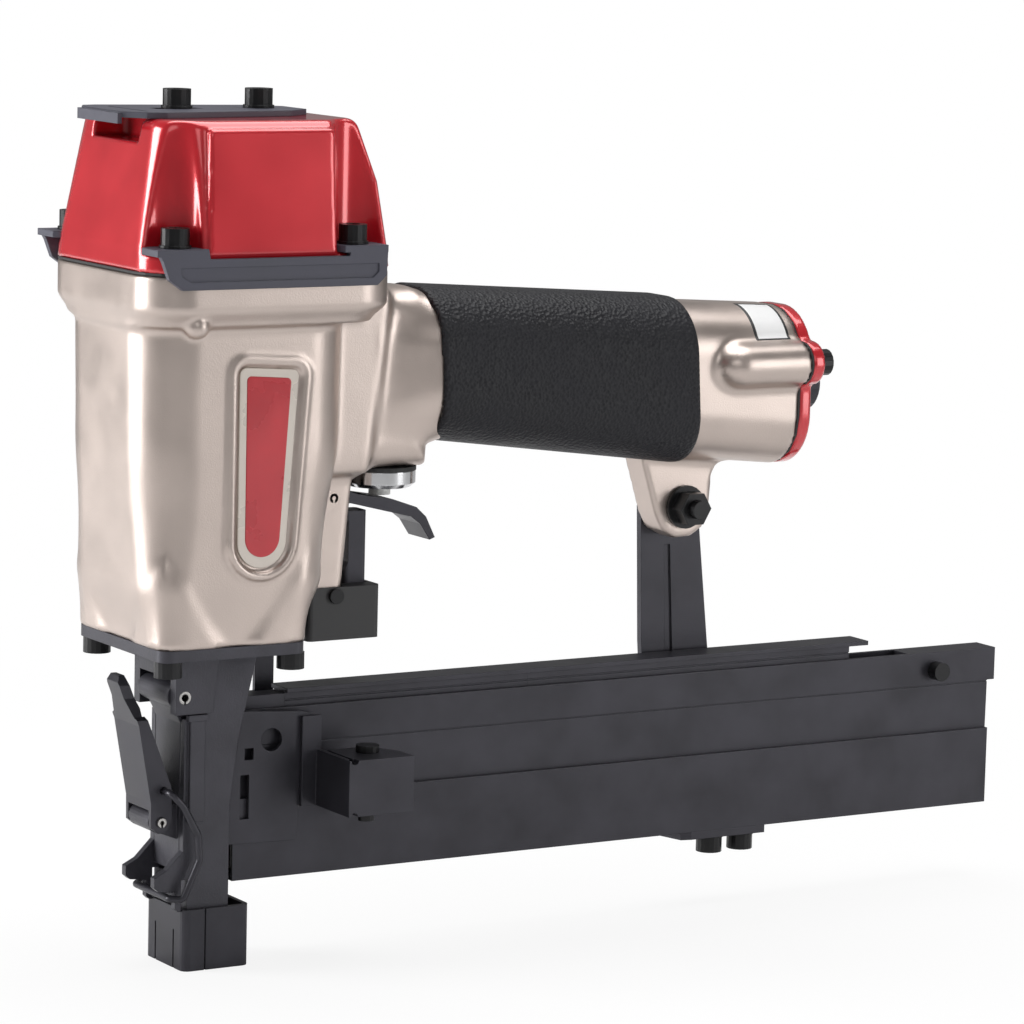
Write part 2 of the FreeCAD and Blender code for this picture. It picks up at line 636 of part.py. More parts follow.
# Core rail inside, standing on the channel's floor
core = solid("core", "xz", [(S.channel_wall_back + 0.4, channel_floor),
                            (S.cover_block_front - 4, channel_floor),
                            (S.cover_block_front - 4, 48), (S.rail_web_rear, 56),
                            (S.rail_web_rear, S.staple_top + 0.3), (S.rail_web_rear - 12,
                             S.staple_top + 0.3), (S.rail_web_rear - 12, S.core_top),
                            (S.channel_wall_back + 0.4, S.core_top)], -S.core_half, S.core_half)
for window in range(5):
    left = 40 + 38 * window
    cut(core, "xz", box(left, left + 22, 38, 62), -S.core_half, S.core_half)
keep("core_rail", core)

# Rail on top in two lengths: a flange over a web
def top_rail(front, rear, web_rear):
    rail = solid("rail", "xy", box(front, rear, -S.rail_half, S.rail_half),
                 S.rail_top - S.rail_flange, S.rail_top)
    pad(rail, "xy", box(front, web_rear, -S.rail_web_half, S.rail_web_half),
        S.staple_top + 0.3, S.rail_top - S.rail_flange)
    cut(rail, "xz", box(front, web_rear, 79.2, 79.7), -S.rail_web_half, 0.4 - S.rail_web_half)
    return rail


keep("top_rail_front", top_rail(S.rail_front, S.rail_seam, S.rail_seam))
keep("top_rail_rear", top_rail(S.rail_seam, S.rail_rear, S.rail_web_rear))
rail_tie = block((S.channel_wall_back, -S.rail_web_half, 76.6),
                 (S.rail_front - S.channel_wall_back, S.rail_web_half * 2, 5))
keep("rail_tie", rail_tie)

# Staples: one stick of crown wires, joined like glued wire
leg = (size(S.crown_width) / 2)
stick = solid("stick", "xy", box(S.stick_front, S.stick_front + S.stick_length, -leg, leg),
              S.staple_leg_low, S.staple_top)
cut(stick, "xy", box(S.stick_front, S.stick_front + S.stick_length, S.staple_wire - leg,
                     leg - S.staple_wire), S.staple_leg_low, S.staple_top - S.staple_wire)
keep("staple_stick", stick)

# Pusher: a saddle that rides on the core rail behind the staples
pusher = solid("pusher", "yz", [(-leg, 50), (-leg, S.staple_top), (leg, S.staple_top), (leg, 50),
                                (S.core_half + S.run_gap, 50),
                                (S.core_half + S.run_gap, S.core_top + S.run_gap),
                                (-S.core_half - S.run_gap, S.core_top + S.run_gap),
                                (-S.core_half - S.run_gap, 50)],
               S.stick_front + S.stick_length + 0.1,
               S.stick_front + S.stick_length + S.pusher_length)
keep("staple_pusher", pusher)

# Sliding cover: two side sheets and a rear block
cover_inner = S.cover_half - S.cover_wall
cover_low = channel_floor + S.run_gap + 1.4
cover = solid("cover", "xz", [(S.magazine_front + 1, cover_low), (S.magazine_rear, cover_low),
                              (S.magazine_rear + 0.4, S.cover_notch),
                              (S.cover_rear, S.cover_notch), (S.cover_rear, S.cover_top),
                              (S.magazine_front + 1, S.cover_top)], -S.cover_half, S.cover_half)
cut(cover, "xz", box(S.magazine_front, S.cover_block_front, cover_low - 1, S.cover_top + 1),
    -cover_inner, cover_inner)
line_z = S.cover_notch - 0.2
for side in (-1, 1):
    inner_face = S.cover_half - 0.3
    if side > 0:
        cut(cover, "xz", box(S.magazine_front, S.magazine_rear + 1, line_z - 0.4, line_z), inner_face,
            S.cover_half)
    else:
        cut(cover, "xz", box(S.magazine_front, S.magazine_rear + 1, line_z - 0.4, line_z),
            -S.cover_half, -inner_face)
keep("magazine_cover", cover)
cover_pin = rod("y", 3.1, (272.9, -S.cover_half - 4.2, 71.4), 4.2, 24)
keep("cover_pin", cover_pin)

# Side plates that tie the magazine to the nose
plate_outer = S.channel_half + S.side_plate_thick
plate_outline = [(S.nose_back_low + 0.6, 37), (S.side_plate_rear - 7, 36.5),
                 (S.side_plate_rear - 6, 47), (S.side_plate_rear, S.bracket_low),
                 (S.side_plate_rear, 75.3), (S.side_plate_rear - 6, 76.6), (12, 77.9),
                 (S.nose_back_low + 0.6, 77.9)]


def side_plate(low, high, face_low, face_high):
    plate = solid("plate", "xz", plate_outline, low, high)
    cut(plate, "xz", wheel(20.2, 68.5, 3.6, 20), low, high)
    cut(plate, "xz", box(11, 14, 62.8, 66.4), low, high)
    cut(plate, "xz", box(9.6, 12.6, 44.5, 58.2), low, high)
    return plate


keep("side_plate_near", side_plate(-plate_outer, -S.channel_half, 0, 0))
keep("side_plate_far", side_plate(S.channel_half, plate_outer, 0, 0))

# Bent box bracket on the near side plate, with its screw and spacer
sheet_t = S.bracket_sheet
near_y = -S.bracket_out
bracket = solid("bracket", "xz", box(S.bracket_front - 5, S.bracket_front + sheet_t, S.bracket_low,
                                     75.2), -plate_outer - sheet_t, -plate_outer)
pad(bracket, "xy", box(S.bracket_front, S.bracket_front + sheet_t, near_y, -plate_outer),
    S.bracket_low, S.bracket_high)
pad(bracket, "xy", box(S.bracket_front, S.bracket_rear, near_y, near_y + sheet_t), S.bracket_low,
    S.bracket_high)
flap = [(S.bracket_front + 2.6, near_y), (S.bracket_rear, near_y), (S.bracket_rear - 0.4, -22),
        (S.bracket_rear - 6, -12), (S.bracket_front + 2.6, -12)]
pad(bracket, "xy", flap, S.bracket_high - sheet_t, S.bracket_high)
pad(bracket, "xy", flap, S.bracket_low, S.bracket_low + sheet_t)
for relief_z in (S.bracket_low, S.bracket_high):
    cut(bracket, "xz", wheel(S.bracket_front + 1.9, relief_z, 1.3), near_y, near_y + 3)
cut(bracket, "xy", wheel(47.5, -19.5, S.screw_round + 0.1, 16), S.bracket_low,
    S.bracket_high)
keep("box_bracket", bracket)
spacer = minus(rod("z", 4.2, (47.5, -19.5, S.bracket_low + sheet_t),
                   S.bracket_high - S.bracket_low - sheet_t * 2, 20),
               rod("z", S.screw_round, (47.5, -19.5, S.bracket_low), 30, 16))
keep("bracket_spacer", spacer)
bracket_screw = fuse([rod("z", 3.6, (47.5, -19.5, S.bracket_high), 2.2, 20),
                      rod("z", S.screw_round, (47.5, -19.5, S.bracket_low - 4),
                          S.bracket_high - S.bracket_low + 4, 16)])
keep("bracket_screw", bracket_screw)

# Casting: barrel, collar, web, neck, handle, rear housing, bosses and lug in one piece
barrel = body("barrel")
low_section = corners(S.flange_front, S.flange_rear, -flange_half, flange_half, S.flange_round)
mid_section = corners(S.barrel_front + 2.2, S.barrel_rear - 6, 1 - S.barrel_half,
                      S.barrel_half - 1, S.barrel_round - 5)
top_section = corners(S.barrel_front, S.barrel_rear, -S.barrel_half, S.barrel_half,
                      S.barrel_round)
loft(barrel, "xy", [(flange_top, low_section), (S.barrel_flare_top, mid_section)])
loft(barrel, "xy", [(S.barrel_flare_top, mid_section), (160, top_section)])
pad(barrel, "xy", top_section, 160, S.collar_low + 1)
collar = body("collar")
collar_section = corners(S.collar_front, S.collar_rear, -S.collar_half, S.collar_half,
                         S.collar_round)
loft(collar, "xy", [(S.collar_low, corners(S.barrel_front, S.barrel_rear + 6,
                                           -S.barrel_half - 2, S.barrel_half + 2,
                                           S.barrel_round)),
                    (S.collar_low + 5.5, collar_section)])
pad(collar, "xy", collar_section, S.collar_low + 5.5, S.seam)

web = solid("web", "xz", [(8, S.web_low), (S.web_rear - 1.2, S.web_low), (S.web_rear, S.web_low + 4),
                          (S.web_rear + 3.2, S.neck_low - 3.2), (S.web_rear + 6, S.neck_low),
                          (S.web_rear + 6, 200), (8, 200)], -S.web_half, S.web_half)
round_edges(web, 1.6, lambda m, a: abs(abs(m.y) - 9) < 0.1 and m.x > 40)
rear_block = solid("rear_block", "xz", [(10, 150), (47.4, S.neck_low), (50.5, 178), (54.5, S.neck_top),
                                        (10, S.neck_top)], -16.5, 16.5)
neck = solid("neck", "xz", [(20, S.neck_low), (S.neck_rear, S.neck_low), (S.neck_rear + 0.4, 157),
                            (S.neck_rear + 6, 160), (S.neck_rear + 6, 190), (S.neck_rear - 6,
                             S.neck_top - 1), (20, S.neck_top)], -S.neck_half, S.neck_half)
round_edges(neck, 7.0, lambda m, a: abs(abs(m.y) - 14.5) < 0.1 and m.z > 190)

core_in = S.grip_sleeve + 0.02
handle = body("handle")
front_core = corners(-S.grip_half + core_in, S.grip_half - core_in,
                     S.grip_low_front + core_in, S.grip_top_front - core_in, 15.0)
rear_core = corners(-S.grip_half + core_in, S.grip_half - core_in,
                    S.grip_low_rear + core_in, S.grip_top_rear - core_in, 16.0)
end_core = corners(-S.grip_half + core_in, S.grip_half - core_in, S.end_low, S.end_top, 17.0)
neck_core = corners(-S.neck_half + 1, S.neck_half - 1, S.neck_low + 6, S.neck_top - 1, 8.0)
loft(handle, "yz", [(54, neck_core), (S.grip_front + 2, front_core)])
loft(handle, "yz", [(S.grip_front + 2, front_core), (S.grip_rear, rear_core)])
loft(handle, "yz", [(S.grip_rear, rear_core), (S.handle_rear, end_core)])

# angles of the three end screws round the handle's end, from +Y towards +Z
END_ANGLES = (158.0, 300.0, 50.0)
end_mid = (S.end_low + S.end_top) / 2
boss_reach = size(22.4)
END_PLACES = [(boss_reach * math.cos(math.radians(angle)),
               end_mid + boss_reach * math.sin(math.radians(angle))) for angle in END_ANGLES]


def end_bosses(start, length):
    return [rod("x", S.boss_round, (start, y, z), length, 16) for y, z in END_PLACES]


boss_start = size(180.5)
bosses = end_bosses(boss_start, S.handle_rear - boss_start)
domes = [rod("x", S.boss_round - 1.6, (boss_start - 3, y, z), 6, 12) for y, z in END_PLACES]

lug = solid("lug", "xz", [(153.2, 152), (160.2, 130), (163, 124.6), (168, 121.8), (174, 122.2),
                          (178.4, 125), (180.6, 131), (181.4, 142), (184.5, 148), (186, 152)],
            S.lug_near, S.channel_half)
round_edges(lug, 2.0, lambda m, a: abs(a.y) > 0.9 and m.z < 150)
casting_solid = fuse([barrel, collar, web, rear_block, neck, handle] + bosses + domes + [lug])

bore = rod("z", S.bore_round, (0, 0, S.bore_low), S.seam - S.bore_low, 48)
driver_way = rod("z", 12, (0, 0, flange_top), 10, 24)
air_way = rod("x", 9.0, (150, 0, S.inlet_z), 60, 24)
lug_hole = rod("y", 3.05, (S.pivot_x, S.lug_near - 1, S.pivot_z), 30, 16)
trigger_slot = block((S.trigger_x - 7.5, -S.trigger_half - S.run_gap, S.trigger_z - 9),
                     (30, S.trigger_half * 2 + S.run_gap * 2, 16.5))
pin_hole = rod("y", 1.5, (S.trigger_x, -S.web_half - 1, S.trigger_z), S.web_half * 2 + 2, 16)
valve_way = rod("z", 9.0, (S.valve_x, 0, S.neck_low), 26, 24)
bolt_ways = [rod("z", S.screw_round, (x, y, flange_top), 12, 10)
             for x in FLANGE_BOLTS_X for y in FLANGE_BOLTS_Y]
cap_ways = [rod("z", S.screw_round, (x, y, S.seam - 12), 13, 10)
            for x in (S.bolt_front, S.bolt_rear) for y in (-S.bolt_half, S.bolt_half)]
end_ways = [rod("x", S.screw_round, (S.handle_rear - 14, y, z), 15, 10) for y, z in END_PLACES]
reservoir = block((84, -11, S.grip_low_rear + 15), (100, 22, 30))
ridge = solid("ridge", "xz", [(-5.2, 186.6), (15.8, 185.6), (12.0, 131.5), (8.4, 126.6), (3.6, 125.2),
                              (-1.4, 127), (-5, 132)], -40, size(1.1) - S.barrel_half)
casting = minus(casting_solid, fuse([bore, driver_way, air_way, lug_hole, trigger_slot, pin_hole,
                                     valve_way, ridge, reservoir, rod("y", 1.2, (40.6, -S.guide_half, 111.9), 7, 8)]
                                    + bolt_ways + cap_ways + end_ways))
keep("housing", casting)

# Label: plain pale plate with a bare red panel in the casting's shallow recess
label_back = size(1.1) - S.barrel_half
label = solid("label", "xz", [(-4.6, 186), (15.2, 185), (11.5, 131.8), (8.1, 127.2), (3.6, 125.8),
                              (-1.1, 127.5), (-4.4, 132.4)], label_back - 0.5, label_back)
keep("label_plate", label)
panel = solid("panel", "xz", [(-2.2, 183.4), (12.6, 182.5), (9.6, 134), (7, 130.2), (3.7, 129.1),
                              (0.4, 130.4), (-1.9, 134)], label_back - 0.7, label_back - 0.5)
keep("label_panel", panel)

# Inner works: cylinder sleeve, bumper, piston with driver blade
sleeve = minus(rod("z", S.bore_round, (0, 0, S.bore_low), 101.2, 48),
               rod("z", S.sleeve_round, (0, 0, S.bore_low), 101.2, 48))
keep("cylinder_sleeve", sleeve)
bumper = minus(rod("z", S.sleeve_round, (0, 0, S.bore_low), 18.2, 24),
               rod("z", 9, (0, 0, S.bore_low), 18.2, 12))
keep("bumper", bumper)
piston = rod("z", S.sleeve_round - 0.08, (0, 0, S.piston_high - S.piston_thick),
             S.piston_thick, 36)
keep("piston", piston)
blade = block((-S.driver_thick / 2, -S.driver_width / 2, S.staple_top + 0.8),
              (S.driver_thick, S.driver_width, S.piston_high - S.piston_thick - S.staple_top - 0.8))
keep("driver_blade", blade)

# Cap with its gasket, side panels, screw scallops and exhaust mouth
gasket = solid("gasket", "xy", collar_section, S.seam, cap_base)
cut(gasket, "xy", wheel(0, 0, S.bore_round, 48), S.seam, cap_base)
for x in (S.bolt_front, S.bolt_rear):
    for y in (-S.bolt_half, S.bolt_half):
        cut(gasket, "xy", wheel(x, y, S.screw_round), S.seam, cap_base)
keep("cap_gasket", gasket)
cap = body("cap")
pad(cap, "xy", collar_section, cap_base, S.cap_band)
top_front, top_rear, top_half = S.cap_top_front, S.cap_top_rear, S.cap_top_half
cap_round = S.collar_round - 0.6
shoulder = size(4.2)
cap_sections = [(S.cap_band, corners(S.collar_front + 0.4, S.collar_rear - 0.4,
                                     0.6 - S.collar_half, S.collar_half - 0.6, cap_round)),
                (S.cap_top - shoulder, corners(top_front, top_rear + 0.8, -top_half, top_half,
                                               cap_round - 1.0)),
                (S.cap_top - shoulder * 0.3, corners(top_front + 1.2, top_rear - 0.6,
                                                     1.2 - top_half, top_half - 1.2,
                                                     cap_round - 2.2)),
                (S.cap_top, corners(top_front + 4, top_rear - 3.6, 4 - top_half, top_half - 4,
                                    cap_round - 5.0))]
for lower, upper in zip(cap_sections, cap_sections[1:]):
    loft(cap, "xy", [lower, upper])
panel_low, panel_high = size(219.4), size(256.4)
for side in (-1, 1):
    pad(cap, "yz", [(side * 20, panel_low), (S.panel_out * side, panel_low),
                    (S.panel_top_out * side, panel_high - 2), ((S.panel_top_out - 2) * side,
                     panel_high), (side * 20, panel_high)], S.panel_front, S.panel_rear)
scallops = []
for x in (S.bolt_front, S.bolt_rear):
    lean = -2.2 if x is S.bolt_front or float(x) < 0 else 2.2
    for side in (-1, 1):
        scallops.append(rod("z", 9.6, (x + lean, S.bolt_half * side + 2.4 * side, S.cap_band), 60,
                            36))
chamber = rod("z", S.bore_round, (0, 0, cap_base), S.cap_chamber_top - cap_base, 48)
cap_holes = [rod("z", S.screw_round, (x, y, cap_base), 10, 10)
             for x in (S.bolt_front, S.bolt_rear) for y in (-S.bolt_half, S.bolt_half)]
mouth = block((S.cap_top_front - 6, -14, S.cap_top - 7), (16, 30, 9))
deflector_ways = [rod("z", S.screw_round, (x, 0, S.cap_top - 8), 10, 10) for x in (-11, 16.5)]
cap_cut = minus(cap, fuse(scallops + [chamber, mouth] + cap_holes + deflector_ways))
keep("cylinder_cap", cap_cut)
head_valve = minus(rod("z", S.bore_round, (0, 0, 208.4), 32, 24),
                   rod("z", 20, (0, 0, 214), 27, 16))
keep("head_valve", head_valve)

cap_screws = [cap_screw("z", (x, y, S.cap_band + 2.0), -1, 16)
              for x in (S.bolt_front, S.bolt_rear) for y in (-S.bolt_half, S.bolt_half)]
keep("cap_screws", group(cap_screws))

# Side guards: bent straps under the cap screws
def side_guard(side):
    low, high = (-guard_outer, -S.guard_inner) if side < 0 else (S.guard_inner, guard_outer)
    tab_low, tab_high = S.cap_band, S.cap_band + 2.0
    strap = solid("strap", "xz", [(-37, tab_high), (-35, S.cap_band - 1.4), (-33, 213.5), (-28.5,
                                   S.guard_low), (36, S.guard_low), (39, 213.2), (39.4, tab_high),
                                  (27, tab_high), (26.4, 219.2), (-19.8, 219.2), (-20.4, tab_high)],
                  low, high)
    for x, lean in ((S.bolt_front, -2.2), (S.bolt_rear, 2.2)):
        pad(strap, "xy", wheel(x + lean, (S.bolt_half + 2.4) * side, 9.2, 24), tab_low, tab_high)
    beyond = box(-60, 60, -60, -guard_outer) if side < 0 else box(-60, 60, guard_outer, 60)
    cut(strap, "xy", beyond, tab_low, tab_high)
    cut(strap, "xy", box(-60, -37, -60, 60), tab_low, tab_high)
    cut(strap, "xy", box(39.4, 60, -60, 60), tab_low, tab_high)
    for x in (S.bolt_front, S.bolt_rear):
        cut(strap, "xy", wheel(x, S.bolt_half * side, S.screw_round), tab_low, tab_high)
    face = guard_outer * side
    first, last = (face, face + 0.5) if side < 0 else (face - 0.5, face)
    cut(strap, "xz", [(-26, 212.6), (34.4, 212.6), (36.4, 214.4), (36.4, 216.8), (-29.4, 216.8),
                      (-29, 214.4)], first, last)
    return strap


keep("side_guard_near", side_guard(-1))
keep("side_guard_far", side_guard(1))

# Exhaust deflector with a slot, a folded lip and two screws
deflector_top = S.cap_top + S.deflector_thick
deflector = solid("deflector", "xy", [(-35, -12), (-35, 15), (-32, 20.5), (-27.5, 21.5), (20, 14.5),
                                      (28.5, 7), (28.5, -8), (20, -14.5), (-24, -20), (-30, -18.5)],
                  S.cap_top, deflector_top)
pad(deflector, "xy", [(-36.4, -12), (-35, -12), (-35, 15), (-36.4, 15)], S.cap_top - 1.8,
    deflector_top - 0.4)
cut(deflector, "xy", box(-19, -3.5, -2.7, 2.7), S.cap_top, deflector_top)
cut(deflector, "xy", wheel(16.5, 0, S.screw_round), S.cap_top, deflector_top)
cut(deflector, "xy", [(-28, -13), (-26.6, -13), (-26.6, 13), (-28, 13)], deflector_top - 0.5,
    deflector_top)
keep("exhaust_deflector", deflector)
keep("deflector_screws", group([cap_screw("z", (x, 0, deflector_top), -1, 8)
                                for x in (-11, 16.5)]))

# Grip sleeve: rubber tube over the handle
grip = body("grip")
grip_front = corners(-S.grip_half, S.grip_half, S.grip_low_front, S.grip_top_front, 16.5)
grip_rear = corners(-S.grip_half, S.grip_half, S.grip_low_rear, S.grip_top_rear, 17.5)
loft(grip, "yz", [(S.grip_front + 2, grip_front), (S.grip_rear, grip_rear)])
loft(grip, "yz", [(S.grip_front + 2, front_core), (S.grip_rear, rear_core)],
     "SubtractiveLoft")
keep("grip_sleeve", minus(grip, fuse([lug, neck])))

# End cap with seal, screws and the air inlet bush
def end_plate(start, length):
    plate = body("end")
    pad(plate, "yz", end_core, start, start + length)
    whole = fuse([plate] + end_bosses(start, length))
    holes = [rod("x", S.screw_round, (start, y, z), length, 10) for y, z in END_PLACES]
    return minus(whole, fuse(holes + [rod("x", S.inlet_bore, (start, 0, S.inlet_z), length)]))


seal = size(0.8)
keep("end_seal", end_plate(S.handle_rear, seal))
end_face = S.handle_rear + seal + S.end_thick
keep("end_cap", end_plate(S.handle_rear + seal, S.end_thick))
keep("end_screws", group([cap_screw("x", (end_face, y, z), -1, 12, washer=False)
                          for y, z in END_PLACES]))
inlet = minus(rod("x", S.inlet_round, (end_face, 0, S.inlet_z), S.inlet_rear - end_face, 32),
              rod("x", S.inlet_bore, (end_face, 0, S.inlet_z), S.inlet_rear - end_face))
keep("inlet_bush", inlet)

# Strut: flat bar down the magazine's far side with a foot folded under it
strut = solid("strut", "xz", [(161.8, 131), (163.5, 138), (168, 142.4), (173.6, 142.6), (178.6, 140),
                              (182.6, 134), (184.2, 126), (188.8, 86), (196.5, S.channel_low - 2.5),
                              (168.4, S.channel_low - 2.5), (163.4, 87)], S.channel_half,
              S.channel_half + S.strut_thick)
pad(strut, "xy", [(168.4, S.channel_half + S.strut_thick), (172.5, -6), (176, -S.channel_half),
                  (204.6, -S.channel_half), (204.6, 4), (196.5, S.channel_half + S.strut_thick)],
    S.channel_low - 2.5, S.channel_low)
cut(strut, "xz", wheel(S.pivot_x, S.pivot_z, 3.05, 16), S.channel_half,
    S.channel_half + S.strut_thick)
cut(strut, "xz", [(171.2, 118), (173.4, 118), (176.6, 62), (173.4, 62)], S.channel_half,
    S.channel_half + 0.7)
for x in STRUT_SCREWS_X:
    cut(strut, "xy", wheel(x, 0, S.screw_round), S.channel_low - 2.5, S.channel_low)
keep("support_strut", strut)
nut_round = 10 / math.sqrt(3)
nut = doc.addObject("Part::Prism", "Nut")
nut.Polygon = 6
nut.Circumradius = nut_round
nut.Height = 5.6
nut_face = S.lug_near - 1.5
nut.Placement = Placement(Vector(float(S.pivot_x), float(nut_face) - 5.6, float(S.pivot_z)), AXES["y"])
bind(nut, "Placement.Base.x", S.pivot_x)
bind(nut, "Placement.Base.y", nut_face - 5.6)
bind(nut, "Placement.Base.z", S.pivot_z)
washer = rod("y", 7.0, (S.pivot_x, nut_face, S.pivot_z), 1.5, 24)
shank = rod("y", 3.0, (S.pivot_x, nut_face - 8.6, S.pivot_z), S.channel_half + S.strut_thick
            - nut_face + 8.6, 16)
head = rod("y", 5.0, (S.pivot_x, S.channel_half + S.strut_thick, S.pivot_z), 4, 6)
keep("pivot_bolt", fuse([shank, head]))
nut_bored = minus(fuse([nut, washer]), rod("y", 3.0, (S.pivot_x, nut_face - 8.6, S.pivot_z), 30,
                                           16))
keep("pivot_nut", nut_bored)
keep("strut_screws", group([cap_screw("z", (x, 0, S.channel_low - 2.5), 1, 3.4)
                            for x in STRUT_SCREWS_X]))

# Trigger: pressed lever between cheeks, open in the middle for the safety post
trigger_side = [(S.trigger_x - 3.2, S.trigger_z + 0.5), (S.trigger_x - 1, S.trigger_z + 3.2),
                (45.5, 143.7), (51, 142.1), (62, 140.3), (70.5, 137.4), (74, 134.2), (77.3, 127.6), (75.4, 126.9),
                (72, 132), (68.5, 134.6), (60, 136.6), (47, 139.8), (S.trigger_x, S.trigger_z - 3.2)]
trigger = solid("trigger", "xz", trigger_side, -S.trigger_half, S.trigger_half)
cut(trigger, "xy", box(30, 55.4, 1.6 - S.trigger_half, S.trigger_half - 1.6), 120, 160)
cut(trigger, "xz", [(55, 120), (80, 120), (68.3, 135.2), (62, 138.2), (55, 140.2)],
    1.6 - S.trigger_half, S.trigger_half - 1.6)
cut(trigger, "xz", ("circle", S.trigger_x, S.trigger_z, size(1.5) + S.pin_slack),
    -S.trigger_half, S.trigger_half)
keep("trigger", trigger)
keep("trigger_pin", roll_pin(S.trigger_x, S.trigger_z, size(1.5), S.web_half))

# Trigger valve: seal ring, chromed cap and white stem
ring = rod("z", 11.3, (S.valve_x, 0, S.neck_low - 1.4), 1.4, 32)
keep("valve_ring", minus(ring, rod("z", 3.5, (S.valve_x, 0, S.neck_low - 1.4), 1.4, 16)))
valve_cap = body("valve_cap")
half_profile = [(3.5, 143.9), (9.6, 143.9), (11.1, 145.2), (11.1, S.neck_low - 1.4),
                (3.5, S.neck_low - 1.4)]
turned = attach(valve_cap, "xz", 0, 0, "Half")
outline(turned, half_profile)
turn = valve_cap.newObject("PartDesign::Revolution", "Turned")
turn.Profile = turned
turn.ReferenceAxis = (turned, ["V_Axis"])
turn.Angle = 360.0
doc.recompute()
valve_cap.Placement = Placement(Vector(float(S.valve_x), 0, 0), Rotation())
bind(valve_cap, "Placement.Base.x", S.valve_x)
keep("valve_cap", valve_cap)
stem = rod("z", 3.4, (S.valve_x, 0, 141.2), 24)
keep("valve_stem", stem)

# Guide box under the web, open below and to the far side for the arm
guide = solid("guide", "xy", corners(S.guide_front, S.guide_rear, -S.guide_half, S.guide_half,
                                     1.5, 3), S.arm_plate_low - 0.6, S.guide_top)
cut(guide, "xy", box(S.guide_front + 1.6, S.guide_rear - 1.6, 1.6 - S.guide_half,
                     S.guide_half - 1.6), S.arm_plate_low - 0.7, S.web_low)
cut(guide, "xy", box(S.guide_front - 1, S.web_rear + 0.4, -S.web_half - 0.02, S.web_half + 0.02),
    S.web_low, S.guide_top)
cut(guide, "yz", box(-4.4, 4.4, S.arm_plate_low - 0.7, S.web_low), S.guide_front - 0.1,
    S.guide_front + 3)
cut(guide, "xy", box(S.post_front - 0.3, S.post_front + S.post_length + 0.3, -post_half - 0.3,
                     post_half + 0.3), S.arm_plate_low - 0.7, S.guide_top)
cut(guide, "xz", wheel(40.6, 111.9, 1.2, 8), -S.guide_half, -S.web_half)
keep("guide_box", guide)
guide_screw = fuse([rod("y", 2.4, (40.6, -S.guide_half - 1.2, 111.9), 1.2, 16),
                    rod("y", 1.2, (40.6, -S.guide_half, 111.9), 6, 8)])
keep("guide_screw", guide_screw)

# Blank sticker on the rear housing
skin = body("skin")
thick = size(0.15)
skin_rear = corners(-S.grip_half + core_in - thick, S.grip_half - core_in + thick,
             S.grip_low_rear + core_in - thick, S.grip_top_rear - core_in + thick, 16.0 + thick)
skin_end = corners(-S.grip_half + core_in - thick, S.grip_half - core_in + thick,
            S.end_low - thick, S.end_top + thick, 17.0 + thick)
loft(skin, "yz", [(S.grip_rear, skin_rear), (S.handle_rear, skin_end)])
loft(skin, "yz", [(S.grip_rear, rear_core), (S.handle_rear, end_core)], "SubtractiveLoft")
window = block((186.5, -24, 182.5), (13, 20, 15.5))
sticker = doc.addObject("Part::MultiCommon", "sticker")
sticker.Shapes = [skin, window]
doc.recompute()
keep("blank_sticker", minus(sticker, casting))

# Write each sub-part after checking the whole document
doc.recompute()
for thing in doc.Objects:
    if "Invalid" in thing.State or "Error" in thing.State:
        raise RuntimeError("%s (%s) is in state %s" % (thing.Label, thing.Name, thing.State))
os.makedirs("parts", exist_ok=True)
for name, thing in PARTS.items():
    shape = thing.Shape
    if shape.isNull() or not shape.isValid() or not shape.Solids:
        raise RuntimeError("%s has no valid solid" % name)
for name, thing in PARTS.items():
    thing.Shape.exportStep("parts/%s.step" % name)
print(len(PARTS), "sub-parts written")
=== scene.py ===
import json
import math

import bpy
import numpy as np
from mathutils import Matrix, Vector


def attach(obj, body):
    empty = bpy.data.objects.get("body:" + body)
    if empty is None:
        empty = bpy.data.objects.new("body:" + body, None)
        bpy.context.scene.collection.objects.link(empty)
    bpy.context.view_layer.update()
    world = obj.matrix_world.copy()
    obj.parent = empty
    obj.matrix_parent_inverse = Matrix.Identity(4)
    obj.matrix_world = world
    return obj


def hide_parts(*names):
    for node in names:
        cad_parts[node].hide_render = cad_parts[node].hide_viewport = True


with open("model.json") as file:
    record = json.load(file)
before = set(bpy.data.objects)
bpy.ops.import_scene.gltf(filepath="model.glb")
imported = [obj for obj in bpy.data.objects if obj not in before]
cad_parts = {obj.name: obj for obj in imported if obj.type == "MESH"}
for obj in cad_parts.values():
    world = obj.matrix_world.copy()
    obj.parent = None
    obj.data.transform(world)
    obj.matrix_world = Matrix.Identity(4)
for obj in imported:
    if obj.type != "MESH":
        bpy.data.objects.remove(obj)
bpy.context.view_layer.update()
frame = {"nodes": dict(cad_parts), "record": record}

bl_info = {
    "name": "Crown stapler dress-up",
    "version": (1, 0, 0),
    "blender": (4, 5, 0),
    "location": "View3D > Sidebar > Stapler",
    "description": "Cast shells, grip, finishes and a studio for a packed air stapler",
    "category": "Object",
}

MM = 0.001

# Sizes in mm that several pieces share
BORE = 27.0
SEAM = 214.0
FLANGE_FRONT, FLANGE_REAR, FLANGE_HALF = -28, 21, 29
HANDLE_HALF, HANDLE_LOW, HANDLE_HIGH = 20.31, 144.8, 196.2
HANDLE_END, HANDLE_AXIS = 203.0, 170.5
END_CIRCLE, END_LOBE, END_ANGLES = 22.4, 7.0, (158.0, 300.0, 50.0)
LABEL_FLOOR = -30.42


# Fields: each gives the signed distance in mm, negative inside

def blend_min(a, b, soft):
    """Union of two fields with a rounded inner corner: the smaller of the two, less a
    parabola where they differ by less than soft."""
    mix = np.clip(0.5 + 0.5 * (b - a) / soft, 0.0, 1.0)
    return b + (a - b) * mix - soft * mix * (1.0 - mix)


def blend_max(a, b, soft):
    """Intersection of two fields with a rounded outer edge, the mirror of blend_min."""
    return -blend_min(-a, -b, soft)


